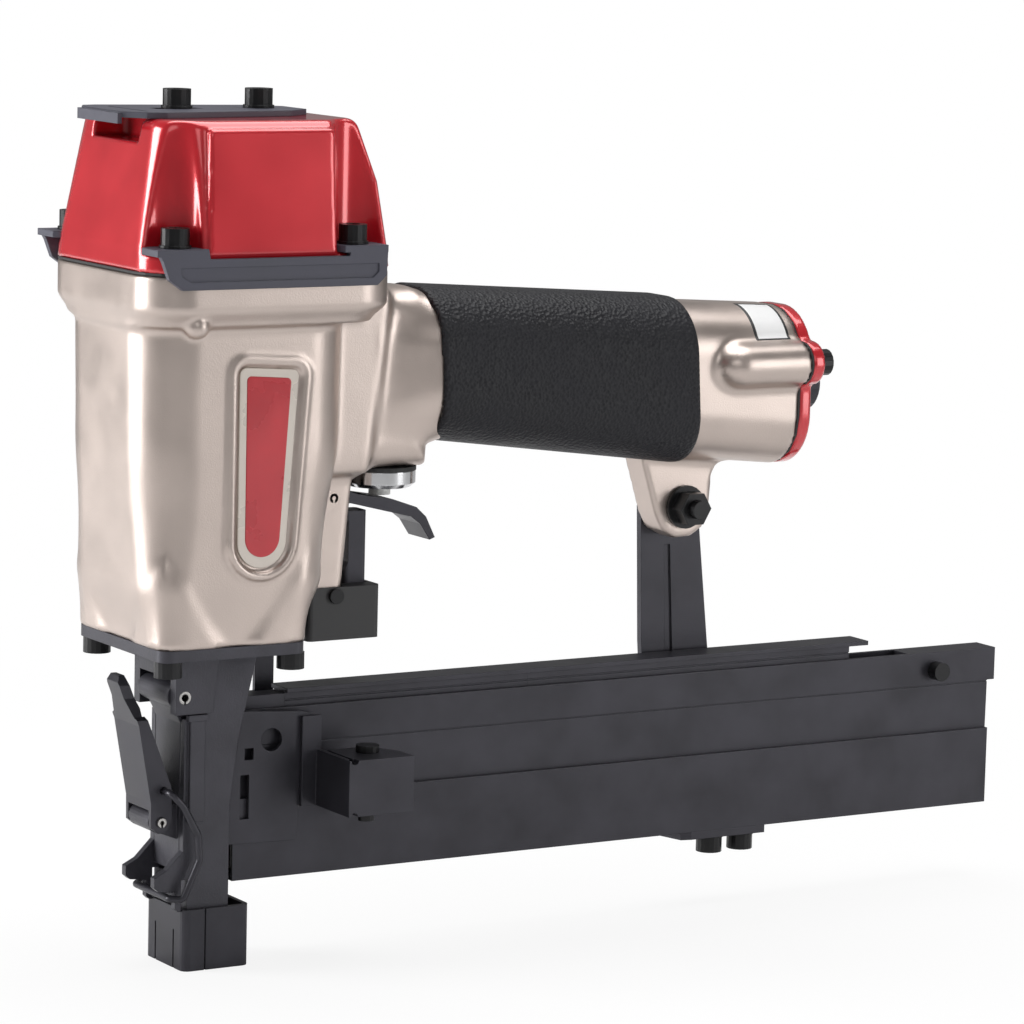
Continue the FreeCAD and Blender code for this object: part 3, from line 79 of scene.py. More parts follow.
def rounded_rectangle(u, v, left, right, low, high, radius):
    """Distance to a rectangle with round corners: the length of the outside part of the
    offset from the inner rectangle, less the corner radius."""
    across = np.abs(u - (left + right) / 2) - (right - left) / 2 + radius
    up = np.abs(v - (low + high) / 2) - (high - low) / 2 + radius
    outside = np.hypot(np.maximum(across, 0), np.maximum(up, 0))
    return outside + np.minimum(np.maximum(across, up), 0) - radius


def polygon(u, v, corners):
    """Distance to a closed polygon: the nearest edge's distance, negative where a ray
    crosses the outline an odd number of times."""
    points = np.asarray(corners, float)
    nearest = np.full(np.shape(u), 1e9)
    sign = np.ones(np.shape(u))
    for k in range(len(points)):
        a, b = points[k], points[k - 1]
        edge = b - a
        along = np.clip(((u - a[0]) * edge[0] + (v - a[1]) * edge[1]) / (edge @ edge), 0, 1)
        nearest = np.minimum(nearest, (u - a[0] - edge[0] * along) ** 2
                             + (v - a[1] - edge[1] * along) ** 2)
        above, below, turn = v >= a[1], v < b[1], edge[0] * (v - a[1]) > edge[1] * (u - a[0])
        flip = (above & below & turn) | (~above & ~below & ~turn)
        sign = np.where(flip, -sign, sign)
    return sign * np.sqrt(nearest)


def slab(u, low, high):
    """Distance to the room between two parallel planes."""
    return np.abs(u - (low + high) / 2) - (high - low) / 2


def ramp(value, *knots):
    """Piecewise values over knots (place, value), eased with a smooth step in each span."""
    places = np.array([k[0] for k in knots], float)
    values = np.array([k[1] for k in knots], float)
    index = np.clip(np.searchsorted(places, value) - 1, 0, len(places) - 2)
    t = np.clip((value - places[index]) / (places[index + 1] - places[index]), 0, 1)
    t = t * t * (3 - 2 * t)
    return values[index] + (values[index + 1] - values[index]) * t


def ramp_line(value, *knots):
    """Piecewise straight values over knots (place, value)."""
    return np.interp(value, [k[0] for k in knots], [k[1] for k in knots])


def net(field, low, high, step, name, sweeps=5):
    """Mesh of a field's zero surface: one point in every grid cell that the surface
    crosses, at the mean of its crossings, joined in fours round each crossing edge. The
    points are then evened out and moved along the field's slope onto the surface."""
    axes = [np.arange(a, b + step, step) for a, b in zip(low, high)]
    grid = np.meshgrid(*axes, indexing="ij", sparse=True)
    values = np.broadcast_to(field(*grid), [len(a) for a in axes]).astype(np.float32)
    shape = np.array(values.shape) - 1
    total = np.zeros(list(shape) + [3], np.float32)
    count = np.zeros(shape, np.float32)
    offsets = [(0, 0), (0, 1), (1, 0), (1, 1)]
    for axis in range(3):
        others = [k for k in range(3) if k != axis]
        for first, second in offsets:
            near, far = [None] * 3, [None] * 3
            near[axis], far[axis] = slice(0, -1), slice(1, None)
            for k, o in zip(others, (first, second)):
                near[k] = far[k] = slice(o, o + shape[k])
            a, b = values[tuple(near)], values[tuple(far)]
            crossing = (a < 0) != (b < 0)
            part = np.where(crossing, a / np.where(crossing, a - b, 1), 0)
            total[..., axis] += np.where(crossing, part, 0)
            total[..., others[0]] += np.where(crossing, first, 0)
            total[..., others[1]] += np.where(crossing, second, 0)
            count += crossing
    cells = np.argwhere(count > 0)
    number = np.full(shape, -1, np.int64)
    number[tuple(cells.T)] = np.arange(len(cells))
    mean = total[tuple(cells.T)] / count[tuple(cells.T)][:, None]
    points = np.array(low, float) + (cells + mean) * step
    quads = []
    for axis in range(3):
        one, two = (axis + 1) % 3, (axis + 2) % 3
        near, far = [slice(1, -1)] * 3, [slice(1, -1)] * 3
        near[axis], far[axis] = slice(0, -1), slice(1, None)
        inside = values < 0
        change = inside[tuple(near)].astype(int) - inside[tuple(far)].astype(int)
        for way in (1, -1):
            spots = np.argwhere(change == way)
            spots[:, one] += 1
            spots[:, two] += 1
            ring = []
            for back_one, back_two in ((1, 1), (0, 1), (0, 0), (1, 0)):
                cell = spots.copy()
                cell[:, one] -= back_one
                cell[:, two] -= back_two
                ring.append(number[tuple(cell.T)])
            ring = np.stack(ring, 1)
            quads.append(ring if way > 0 else ring[:, ::-1])
    quads = np.concatenate(quads)

    def settle(p, rounds):
        tiny = step * 0.05
        for _ in range(rounds):
            here = field(*p.T)
            slope = np.stack([field(*(p + tiny * np.eye(3)[k]).T) - here for k in range(3)], 1)
            slope /= tiny
            size = np.maximum((slope ** 2).sum(1), 0.05)
            move = (here / size)[:, None] * slope
            length = np.sqrt((move ** 2).sum(1))[:, None]
            p = p - move * np.minimum(1, step * 0.8 / np.maximum(length, 1e-9))
        return p

    edges = np.concatenate([quads[:, [k, (k + 1) % 4]] for k in range(4)])
    degree = np.bincount(edges.ravel(), minlength=len(points)).astype(float)[:, None]
    for _ in range(sweeps):
        around = np.stack([np.bincount(edges[:, 0], points[edges[:, 1], k], len(points))
                           + np.bincount(edges[:, 1], points[edges[:, 0], k], len(points))
                           for k in range(3)], 1)
        points = settle(points * 0.5 + 0.5 * around / degree, 1)
    points = settle(points, 3)
    return mesh_piece(name, points, quads)


def hull(circles, count=72):
    """Outline round a set of circles (across, up, radius): for each heading, the point of
    the circle that reaches furthest that way."""
    turn = np.linspace(0, 2 * np.pi, count, endpoint=False)
    way = np.stack([np.cos(turn), np.sin(turn)], 1)
    circles = np.asarray(circles, float)
    reach = way @ circles[:, :2].T + circles[:, 2]
    best = circles[reach.argmax(1)]
    return best[:, :2] + way * best[:, 2:]


def plate(name, circles, back, front, edge=0.15):
    """Flat plate in the x-z plane with the outline of a hull of circles and a small
    bevel round its front face, from y = back to y = front."""
    rings = []
    inner = [(x, z, r - edge) for x, z, r in circles]
    for shape, y in ((circles, back), (circles, front + edge), (inner, front)):
        flat = hull(shape)
        rings.append(np.stack([flat[:, 0], np.full(len(flat), y), flat[:, 1]], 1))
    return tube_piece(name, np.stack(rings)[:, ::-1], False)


def tube_piece(name, rings, smooth=True):
    """Mesh through a stack of closed rings of points, with a flat face on both ends."""
    count, sides = rings.shape[:2]
    index = np.arange(count * sides).reshape(count, sides)
    next_side = np.roll(index, -1, 1)
    quads = np.stack([index[:-1], next_side[:-1], next_side[1:], index[1:]], -1)
    faces = quads.reshape(-1, 4).tolist() + [index[0, ::-1].tolist(), index[-1].tolist()]
    piece = mesh_piece(name, rings.reshape(-1, 3), faces, smooth)
    for face in piece.data.polygons[-2:]:
        face.use_smooth = False
    return piece


def wire(name, corners, radii, round_wire, sides=16):
    """Round wire along straight runs with an arc in each bend: the ring is carried along
    the path, always square to it."""
    corners = np.asarray(corners, float)
    path = [corners[0]]
    for k in range(1, len(corners) - 1):
        a, b = corners[k - 1] - corners[k], corners[k + 1] - corners[k]
        a, b = a / np.linalg.norm(a), b / np.linalg.norm(b)
        half = np.arccos(np.clip(a @ b, -1, 1)) / 2
        reach = radii[k - 1] / np.tan(half)
        start, end = corners[k] + a * reach, corners[k] + b * reach
        centre = corners[k] + (a + b) / np.linalg.norm(a + b) * radii[k - 1] / np.sin(half)
        for t in np.linspace(0, 1, 9):
            spot = start * (1 - t) + end * t - centre
            path.append(centre + spot / np.linalg.norm(spot) * radii[k - 1])
    path = np.array(path + [corners[-1]])
    way = np.gradient(path, axis=0)
    way /= np.linalg.norm(way, axis=1)[:, None]
    out = np.cross(way[0], [0.3, 0.2, 1.0])
    turn = np.linspace(0, 2 * np.pi, sides, endpoint=False)[:, None]
    rings = []
    for point, along in zip(path, way):
        out = out - along * (out @ along)
        out = out / np.linalg.norm(out)
        side = np.cross(along, out)
        rings.append(point + round_wire * (np.cos(turn) * out + np.sin(turn) * side))
    return tube_piece(name, np.stack(rings))


def patch(name, field, start, end, low_angle, high_angle, centre, offset, count=(40, 60)):
    """Thin skin over a field: a grid of places round the x axis, moved along the field's
    slope to the given height above its surface, with its rim turned down into it."""
    x, angle = np.meshgrid(np.linspace(start, end, count[0]),
                           np.radians(np.linspace(low_angle, high_angle, count[1])),
                           indexing="ij")
    rim = np.zeros(x.shape, bool)
    rim[[0, -1]] = True
    rim[:, [0, -1]] = True
    level = np.where(rim, -0.05, offset).ravel()
    p = np.stack([x, centre[0] + 24 * np.cos(angle), centre[1] + 24 * np.sin(angle)], -1)
    p = p.reshape(-1, 3)
    keep = p[:, 0].copy()
    for _ in range(14):
        here = field(*p.T) - level
        slope = np.stack([field(*(p + 0.05 * np.eye(3)[k]).T) - level - here
                          for k in range(3)], 1) / 0.05
        p = p - (here / np.maximum((slope ** 2).sum(1), 0.1))[:, None] * slope * 0.8
        p[:, 0] = keep
    index = np.arange(x.size).reshape(x.shape)
    quads = np.stack([index[:-1, :-1], index[1:, :-1], index[1:, 1:], index[:-1, 1:]], -1)
    return mesh_piece(name, p, quads.reshape(-1, 4))


def mesh_piece(name, points, faces, smooth=True):
    """A mesh object at the origin from points in mm and an array of faces."""
    data = bpy.data.meshes.new(name)
    faces = faces.tolist() if isinstance(faces, np.ndarray) else faces
    data.from_pydata((np.asarray(points) * MM).tolist(), [], faces)
    data.validate()
    data.update()
    if smooth:
        data.shade_smooth()
    piece = bpy.data.objects.new(name, data)
    bpy.context.scene.collection.objects.link(piece)
    return piece


# The casting, cap and grip as fields

def barrel_field(x, y, z):
    """Round-cornered barrel that grows from the square flange into a wide oval, with
    its lowest corners standing out where the flange's screws go in."""
    front = ramp(z, (102, -28.0), (122, -31.8), (165, -34.0), (200, -34.4))
    rear = ramp(z, (102, 21.0), (122, 29.0), (165, 35.0), (200, 35.4))
    half = ramp(z, (102, 29.0), (122, 30.4), (165, 31.5), (200, 31.8))
    radius = ramp(z, (102, 9.0), (118, 12.0), (150, 16.0), (200, 16.5))
    side = rounded_rectangle(x, y, front, rear, -half, half, radius)
    foot = rounded_rectangle(x, y, FLANGE_FRONT, FLANGE_REAR, -FLANGE_HALF, FLANGE_HALF, 4.0)
    inward = np.maximum(np.minimum(x - FLANGE_FRONT, FLANGE_REAR - x), FLANGE_HALF - np.abs(y))
    wedge = blend_max(foot, (z - 102 + 1.35 * inward - 25) * 0.55, 3.0)
    return blend_min(side, wedge, 4.0)


LABEL_RECESS = ((-2.6, 184.0, 2.7), (13.2, 183.0, 2.7), (3.6, 133.9, 8.8))
LABEL_PLATE = ((-2.2, 183.6, 2.4), (12.8, 182.6, 2.4), (3.6, 134.0, 8.2))
LABEL_PANEL = ((-0.8, 182.0, 1.4), (11.2, 181.1, 1.4), (3.7, 134.9, 5.8))
END_SCREWS = [(END_CIRCLE * math.cos(math.radians(a)),
               HANDLE_AXIS + END_CIRCLE * math.sin(math.radians(a))) for a in END_ANGLES]


def end_field(x, y, z):
    """Rear plate: the handle's round-cornered section with a lobe at each screw, less the
    air thread and the screw holes."""
    section = rounded_rectangle(y, z, -HANDLE_HALF, HANDLE_HALF, HANDLE_LOW, HANDLE_HIGH, 17.0)
    for across, up in END_SCREWS:
        section = blend_min(section, np.hypot(y - across, z - up) - END_LOBE, 2.2)
    body = blend_max(section, slab(x, 203.8, 208.2), 0.8)
    holes = np.hypot(y, z - HANDLE_AXIS) - 5.7
    for across, up in END_SCREWS:
        holes = np.minimum(holes, np.hypot(y - across, z - up) - 2.5)
    return np.maximum(body, -holes)


def casting_field(x, y, z):
    """The whole casting: barrel, collar, web, neck, handle, end bosses and lug joined
    with soft inner corners, less the bore, the trigger's slot and the label's recess."""
    barrel = blend_max(barrel_field(x, y, z), slab(z, 102.2, 206.0), 1.0)
    grow = ramp(z, (198.5, -3.4), (204.5, 0.0), (SEAM, 0.0))
    collar = rounded_rectangle(x, y, -36.5 - grow * 0.5, 46.5 + grow, -38.0 - grow,
                               38.0 + grow, 14.0)
    collar = blend_max(collar, slab(z, 198.5, SEAM), 0.8)
    body = blend_min(barrel, collar, 3.0)
    web_side = polygon(x, z, [(8, 108.9), (42.3, 108.9), (43.5, 113), (46.7, 147.4),
                              (49.5, 150.5), (49.5, 203), (8, 203)])
    web = blend_max(web_side, slab(y, -9.0, 9.0), 2.2)
    body = blend_min(body, web, 4.0)
    block_side = polygon(x, z, [(10, 150), (47.4, 150.5), (50.5, 178), (54.5, 206), (10, 206)])
    block = blend_max(block_side, slab(y, -16.5, 16.5), 2.5)
    body = blend_min(body, block, 2.5)
    neck_side = polygon(x, z, [(20, 150.5), (71.6, 150.5), (72.0, 157), (77.6, 160),
                               (77.6, 196), (66, 205), (20, 206)])
    neck = blend_max(neck_side, slab(y, -14.5, 14.5), 9.0)
    body = blend_min(body, neck, 5.0)
    low = ramp_line(x, (54, 156.5), (71, 160.3), (163, 148.7), (HANDLE_END, HANDLE_LOW))
    high = ramp_line(x, (54, 205.0), (71, 204.3), (163, 198.5), (HANDLE_END, HANDLE_HIGH))
    wide = ramp_line(x, (54, 13.5), (71, 20.3), (HANDLE_END, 20.3))
    handle = rounded_rectangle(y, z, -wide, wide, low, high, 16.0)
    handle = blend_max(handle, slab(x, 54, HANDLE_END), 0.6)
    body = blend_min(body, handle, 5.0)
    for centre_y, centre_z in END_SCREWS:
        beyond = np.minimum(x - 180.5, 0) * 0.8
        boss = np.sqrt((y - centre_y) ** 2 + (z - centre_z) ** 2 + beyond ** 2) - END_LOBE
        body = blend_min(body, blend_max(boss, x - HANDLE_END, 0.4), 3.0)
    lug_side = polygon(x, z, [(153.2, 152), (160.2, 130), (163, 124.6), (168, 121.8),
                              (174, 122.2), (178.4, 125), (180.6, 131), (181.4, 142),
                              (184.5, 148), (186, 152)])
    lug = blend_max(lug_side, slab(y, -4.6, 6.9), 1.4)
    body = blend_min(body, lug, 3.0)
    bore = np.maximum(np.hypot(x, y) - BORE, 105.0 - z)
    way = np.hypot(x, y) - 12.0
    body = blend_max(body, -np.minimum(bore, way), 0.5)
    slot = np.maximum(rounded_rectangle(x, z, 32.5, 62.5, 133.0, 149.5, 1.0), slab(y, -6.9, 6.9))
    valve = np.maximum(np.hypot(x - 60.9, y) - 9.0, slab(z, 100, 176))
    valve = np.maximum(valve, 150.5 - z)
    pivot = np.maximum(np.hypot(x - 170.9, z - 132.0) - 3.05, slab(y, -10, 12))
    body = np.maximum(body, -np.minimum(np.minimum(slot, valve), pivot))
    body = np.maximum(body, -np.maximum(slab(z, 0, 108.9), 30.0 - x))
    for side_y in (-33.6, 33.6):
        bump = np.sqrt((x + 20.5) ** 2 + (y - side_y) ** 2 + (z - 199.0) ** 2) - 3.8
        body = blend_min(body, bump, 1.2)
    outline = polygon(x, z, hull(LABEL_RECESS, 48))
    raised = blend_max(np.abs(outline - 1.9) - 1.2, slab(y, -32.3, -28), 1.0)
    body = blend_min(body, np.where(y < 0, raised, 9.0), 1.0)
    recess = np.maximum(outline, y - LABEL_FLOOR)
    return blend_max(body, -recess, 0.4)


def cap_field(x, y, z):
    """Tapered round-cornered dome with raised side panels, a scallop round each corner
    screw, the cylinder's head room inside and the exhaust's mouth in front."""
    front = ramp_line(z, (215, -36.4), (222, -36.0), (258.8, -29.5))
    rear = ramp_line(z, (215, 46.5), (222, 45.9), (240, 43.6), (258.8, 37.0))
    half = ramp_line(z, (215, 38.0), (222, 37.4), (258.8, 33.0))
    dome = rounded_rectangle(x, y, front, rear, -half, half, 13.5)
    dome = blend_max(dome, z - 258.8, 3.2)
    out = ramp_line(z, (219.4, 38.6), (256.4, 35.9))
    sides = ramp_line(z, (219.4, 22.6), (256.4, 21.4))
    panel = np.maximum(np.abs(x - 3.4) - sides, np.abs(y) - out)
    panel = blend_max(panel, slab(z, 219.4, 256.6), 1.6)
    dome = blend_min(dome, panel, 0.9)
    for bolt_x in (-30.4, 33.0):
        hollow = np.hypot(x - bolt_x, np.abs(y) - 36.4) - 9.6
        hollow = blend_max(hollow, 220.2 - z, 1.2)
        dome = blend_max(dome, -hollow, 1.4)
    dome = np.maximum(dome, SEAM + 0.8 - z)
    chamber = np.maximum(np.hypot(x, y) - BORE, z - 249.0)
    mouth = rounded_rectangle(x, y, -36, -19.5, -14, 16, 2.0)
    mouth = np.maximum(mouth, 251.8 - z)
    return blend_max(dome, -np.minimum(chamber, mouth), 0.6)


def grip_field(x, y, z):
    """Rubber sleeve: a soft tube round the handle with rolled ends that lean with it."""
    lean = x + (z - 180.0) * 0.062
    low = ramp_line(x, (71, 158.6), (163, 147.0))
    high = ramp_line(x, (71, 206.0), (163, 200.2))
    outer = rounded_rectangle(y, z, -22.0, 22.0, low, high, 17.0)
    inner = rounded_rectangle(y, z, -HANDLE_HALF, HANDLE_HALF, low + 1.7, high - 1.7, 15.4)
    tube = blend_max(outer, slab(lean, 70.6, 164.4), 2.0)
    return np.maximum(tube, -inner)


# Finishes

def socket(node, name, value):
    """Sets a constant straight on a shader node's input."""
    node.inputs[name].default_value = value


def finish(name, colour, metallic, rough, grain, strength, depth=0.05, spread=0.12,
           rough_spread=0.08, coat=0.0, coat_rough=0.05, stretch=(1, 1, 1), cells=False,
           edge=0.35, patch=60.0, specular=0.5):
    """A procedural surface: a rounded edge, a fine relief of noise or cells of the given
    grain in mm, and a slow change of colour and roughness over the patches."""
    material = bpy.data.materials.new("finish_" + name)
    material.use_nodes = True
    tree = material.node_tree
    shader = tree.nodes["Principled BSDF"]
    socket(shader, "Metallic", metallic)
    socket(shader, "Specular IOR Level", specular)
    socket(shader, "Coat Weight", coat)
    socket(shader, "Coat Roughness", coat_rough)
    place = tree.nodes.new("ShaderNodeTexCoord")
    mapping = tree.nodes.new("ShaderNodeMapping")
    socket(mapping, "Scale", stretch)
    tree.links.new(place.outputs["Object"], mapping.inputs["Vector"])
    rounding = tree.nodes.new("ShaderNodeBevel")
    rounding.samples = 6
    socket(rounding, "Radius", edge * MM)
    relief = tree.nodes.new("ShaderNodeBump")
    socket(relief, "Strength", strength)
    socket(relief, "Distance", depth * MM)
    tree.links.new(rounding.outputs["Normal"], relief.inputs["Normal"])
    if cells:
        texture = tree.nodes.new("ShaderNodeTexVoronoi")
        texture.feature = "SMOOTH_F1"
        socket(texture, "Smoothness", 0.35)
        height = texture.outputs["Distance"]
    else:
        texture = tree.nodes.new("ShaderNodeTexNoise")
        socket(texture, "Detail", 3.0)
        height = texture.outputs["Fac"]
    socket(texture, "Scale", 1.0 / (grain * MM))
    tree.links.new(mapping.outputs["Vector"], texture.inputs["Vector"])
    tree.links.new(height, relief.inputs["Height"])
    tree.links.new(relief.outputs["Normal"], shader.inputs["Normal"])
    tree.links.new(rounding.outputs["Normal"], shader.inputs["Coat Normal"])
    slow = tree.nodes.new("ShaderNodeTexNoise")
    socket(slow, "Scale", patch)
    socket(slow, "Detail", 4.0)
    tree.links.new(place.outputs["Object"], slow.inputs["Vector"])
    tint = tree.nodes.new("ShaderNodeValToRGB")
    tint.color_ramp.elements[0].position = 0.3
    tint.color_ramp.elements[1].position = 0.7
    dark = [c * (1 - spread) for c in colour[:3]] + [1.0]
    pale = [min(1.0, c * (1 + spread)) for c in colour[:3]] + [1.0]
    tint.color_ramp.elements[0].color = dark
    tint.color_ramp.elements[1].color = pale
    tree.links.new(slow.outputs["Fac"], tint.inputs["Fac"])
    tree.links.new(tint.outputs["Color"], shader.inputs["Base Color"])
    gloss = tree.nodes.new("ShaderNodeMapRange")
    socket(gloss, "From Min", 0.3)
    socket(gloss, "From Max", 0.7)
    socket(gloss, "To Min", max(0.02, rough - rough_spread))
    socket(gloss, "To Max", rough + rough_spread)
    tree.links.new(slow.outputs["Fac"], gloss.inputs["Value"])
    tree.links.new(gloss.outputs["Result"], shader.inputs["Roughness"])
    return material


def finish_of(slot, settings):
    """The finish of a material slot of the record, made once."""
    made = bpy.data.materials.get("finish_" + slot)
    if made:
        return made
    steel, nose = settings.steel_colour, settings.nose_colour
    makers = {
        "casting": lambda: finish(slot, settings.casting_colour, 0.95, 0.36, 0.45, 0.5,
                                  0.09, 0.04, 0.04, edge=0.5),
        "red_lacquer": lambda: finish(slot, settings.red_colour, 0.25, 0.24, 0.8, 0.05, 0.02,
                                      0.06, 0.03, coat=1.0, coat_rough=0.04, edge=0.9),
        "black_steel": lambda: finish(slot, steel, 0.5, 0.36, 0.35, 0.35, 0.05, 0.22, 0.07,
                                      stretch=(0.08, 1, 1), edge=0.3),
        "black_nose": lambda: finish(slot, nose, 0.4, 0.42, 0.6, 0.6, 0.12, 0.25, 0.08,
                                     edge=0.5),
        "black_screw": lambda: finish(slot, (0.012, 0.012, 0.013), 0.5, 0.36, 0.4, 0.12,
                                      0.03, 0.2, 0.06, edge=0.3),
        "guard_plastic": lambda: finish(slot, settings.guard_colour, 0.0, 0.5, 0.5, 0.25,
                                        0.04, 0.12, 0.08, edge=0.5),
        "black_plastic": lambda: finish(slot, (0.014, 0.014, 0.015), 0.0, 0.42, 0.5, 0.2,
                                        0.03, 0.15, 0.06, edge=0.4),
        "grip_rubber": lambda: finish(slot, settings.grip_colour, 0.0, 0.52,
                                      settings.leather_grain, 0.9, 0.45, 0.2, 0.06,
                                      cells=True, edge=0.5, specular=0.3),
        "seal_rubber": lambda: finish(slot, (0.012, 0.012, 0.012), 0.0, 0.6, 0.5, 0.2, 0.03),
        "chrome_cap": lambda: finish(slot, (0.62, 0.62, 0.63), 1.0, 0.14, 0.6, 0.04, 0.02,
                                     0.05, 0.03),
        "white_plastic": lambda: finish(slot, (0.75, 0.75, 0.73), 0.0, 0.35, 0.6, 0.05,
                                        0.02, 0.04),
        "bright_steel": lambda: finish(slot, (0.42, 0.41, 0.40), 1.0, 0.3, 0.3, 0.1, 0.02,
                                       0.1),
        "bare_aluminium": lambda: finish(slot, (0.6, 0.6, 0.61), 1.0, 0.3, 0.3, 0.1, 0.02,
                                         0.08, stretch=(1, 1, 0.1)),
        "label_pale": lambda: finish(slot, (0.62, 0.56, 0.50), 0.2, 0.32, 0.5, 0.05, 0.02,
                                     0.03, coat=0.5),
        "label_red": lambda: finish(slot, (0.47, 0.010, 0.020), 0.1, 0.3, 0.5, 0.05, 0.02,
                                    0.1, coat=0.8, coat_rough=0.08),
        "sticker_white": lambda: finish(slot, (0.80, 0.80, 0.80), 0.0, 0.4, 0.5, 0.05, 0.02,
                                        0.03, coat=0.3),
    }
    return makers[slot]()


def wear(piece, slot, settings):
    """Puts a slot's finish on an object of the scene."""
    piece.data.materials.clear()
    piece.data.materials.append(finish_of(slot, settings))


# Settings

class STAPLER_PG_finishes(bpy.types.PropertyGroup):
    """Colours and grains of the finishes."""
    casting_colour: bpy.props.FloatVectorProperty(
        name="Casting", description="Champagne silver of the casting", size=3,
        subtype="COLOR", default=(0.52, 0.445, 0.405), min=0, max=1)
    red_colour: bpy.props.FloatVectorProperty(
        name="Lacquer", description="Red of the cap and the rear plate", size=3,
        subtype="COLOR", default=(0.58, 0.012, 0.022), min=0, max=1)
    steel_colour: bpy.props.FloatVectorProperty(
        name="Black steel", description="Magazine, levers and strut", size=3,
        subtype="COLOR", default=(0.035, 0.034, 0.042), min=0, max=1)
    nose_colour: bpy.props.FloatVectorProperty(
        name="Nose", description="Blackened nose casting", size=3,
        subtype="COLOR", default=(0.046, 0.045, 0.055), min=0, max=1)
    guard_colour: bpy.props.FloatVectorProperty(
        name="Guards", description="Side guards and exhaust plate", size=3,
        subtype="COLOR", default=(0.060, 0.060, 0.082), min=0, max=1)
    grip_colour: bpy.props.FloatVectorProperty(
        name="Grip", description="Rubber of the grip", size=3,
        subtype="COLOR", default=(0.010, 0.010, 0.013), min=0, max=1)
    leather_grain: bpy.props.FloatProperty(
        name="Leather grain", description="Size of the grip's grain in mm", default=1.1,
        min=0.3, max=3)


class STAPLER_PG_shells(bpy.types.PropertyGroup):
    """Mesh spacings and radii of the smooth shells."""
    casting_step: bpy.props.FloatProperty(
        name="Casting spacing", description="Mesh spacing on the casting in mm", default=1.2,
        min=0.6, max=4)
    cap_step: bpy.props.FloatProperty(
        name="Cap spacing", description="Mesh spacing on the cap in mm", default=0.8,
        min=0.4, max=3)
    grip_step: bpy.props.FloatProperty(
        name="Grip spacing", description="Mesh spacing on the grip in mm", default=0.9,
        min=0.4, max=3)
    end_step: bpy.props.FloatProperty(
        name="Rear plate spacing", description="Mesh spacing on the rear plate in mm",
        default=0.7, min=0.4, max=3)


class STAPLER_PG_studio(bpy.types.PropertyGroup):
    """Lights, floor and camera."""
    key_power: bpy.props.FloatProperty(
        name="Key light", description="Power of the large front light in watts", default=2.4,
        min=0, max=400)
    side_power: bpy.props.FloatProperty(
        name="Side light", description="Power of the strip on the left in watts", default=16,
        min=0, max=400)
    right_power: bpy.props.FloatProperty(
        name="Right light", description="Power of the strip on the right in watts", default=6,
        min=0, max=400)
    top_power: bpy.props.FloatProperty(
        name="Top light", description="Power of the light above in watts", default=10,
        min=0, max=400)
    world_strength: bpy.props.FloatProperty(
        name="Room", description="Strength of the room's light", default=0.2, min=0, max=3)
    focal_length: bpy.props.FloatProperty(
        name="Focal length", description="Lens of the camera", subtype="DISTANCE_CAMERA",
        default=160.07, min=20, max=400)


# Operators

class STAPLER_OT_finishes(bpy.types.Operator):
    """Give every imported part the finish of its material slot"""
    bl_idname = "stapler.finishes"
    bl_label = "Finishes"

    def execute(self, context):
        settings = context.scene.stapler_finishes
        slots = {part["node"]: part["material_slot"] for part in frame["record"]["subparts"]}
        for node, piece in frame["nodes"].items():
            wear(piece, slots[node], settings)
        return {"FINISHED"}


class STAPLER_OT_casting(bpy.types.Operator):
    """Build the smooth cast housing over the frame"""
    bl_idname = "stapler.casting"
    bl_label = "Casting"

    def execute(self, context):
        piece = net(casting_field, (-42, -43, 99), (208, 43, 218),
                    context.scene.stapler_shells.casting_step, "casting_shell")
        wear(piece, "casting", context.scene.stapler_finishes)
        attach(piece, "tool")
        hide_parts("housing")
        return {"FINISHED"}


class STAPLER_OT_cap(bpy.types.Operator):
    """Build the lacquered cylinder cap"""
    bl_idname = "stapler.cap"
    bl_label = "Cap"

    def execute(self, context):
        piece = net(cap_field, (-40, -44, 211), (51, 44, 263),
                    context.scene.stapler_shells.cap_step, "cap_shell")
        wear(piece, "red_lacquer", context.scene.stapler_finishes)
        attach(piece, "tool")
        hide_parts("cylinder_cap")
        return {"FINISHED"}


class STAPLER_OT_grip(bpy.types.Operator):
    """Build the rubber grip"""
    bl_idname = "stapler.grip"
    bl_label = "Grip"

    def execute(self, context):
        piece = net(grip_field, (64, -26, 142), (170, 26, 211),
                    context.scene.stapler_shells.grip_step, "grip_shell")
        wear(piece, "grip_rubber", context.scene.stapler_finishes)
        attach(piece, "tool")
        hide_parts("grip_sleeve")
        return {"FINISHED"}


class STAPLER_OT_end(bpy.types.Operator):
    """Build the lacquered rear plate"""
    bl_idname = "stapler.end"
    bl_label = "Rear plate"

    def execute(self, context):
        piece = net(end_field, (201, -31, 141), (211, 25, 199),
                    context.scene.stapler_shells.end_step, "end_shell")
        wear(piece, "red_lacquer", context.scene.stapler_finishes)
        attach(piece, "tool")
        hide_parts("end_cap")
        return {"FINISHED"}


class STAPLER_OT_label(bpy.types.Operator):
    """Build the bare label with its pale border and the blank sticker"""
    bl_idname = "stapler.label"
    bl_label = "Bare labels"

    def execute(self, context):
        settings = context.scene.stapler_finishes
        border = plate("label_border", LABEL_PLATE, LABEL_FLOOR, -30.9)
        panel = plate("label_field", LABEL_PANEL, -30.85, -31.1)
        centre = (0.0, HANDLE_AXIS)
        frame_skin = patch("sticker_border", casting_field, 186.3, 199.9, 103, 143, centre,
                           0.14)
        white = patch("sticker_white", casting_field, 187.2, 199.0, 105.5, 140.5, centre, 0.2)
        pairs = ((border, "label_pale", "label_plate"), (panel, "label_red", "label_panel"),
                 (frame_skin, "black_plastic", None), (white, "sticker_white", "blank_sticker"))
        for piece, slot, node in pairs:
            wear(piece, slot, settings)
            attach(piece, "tool")
            if node:
                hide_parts(node)
        return {"FINISHED"}


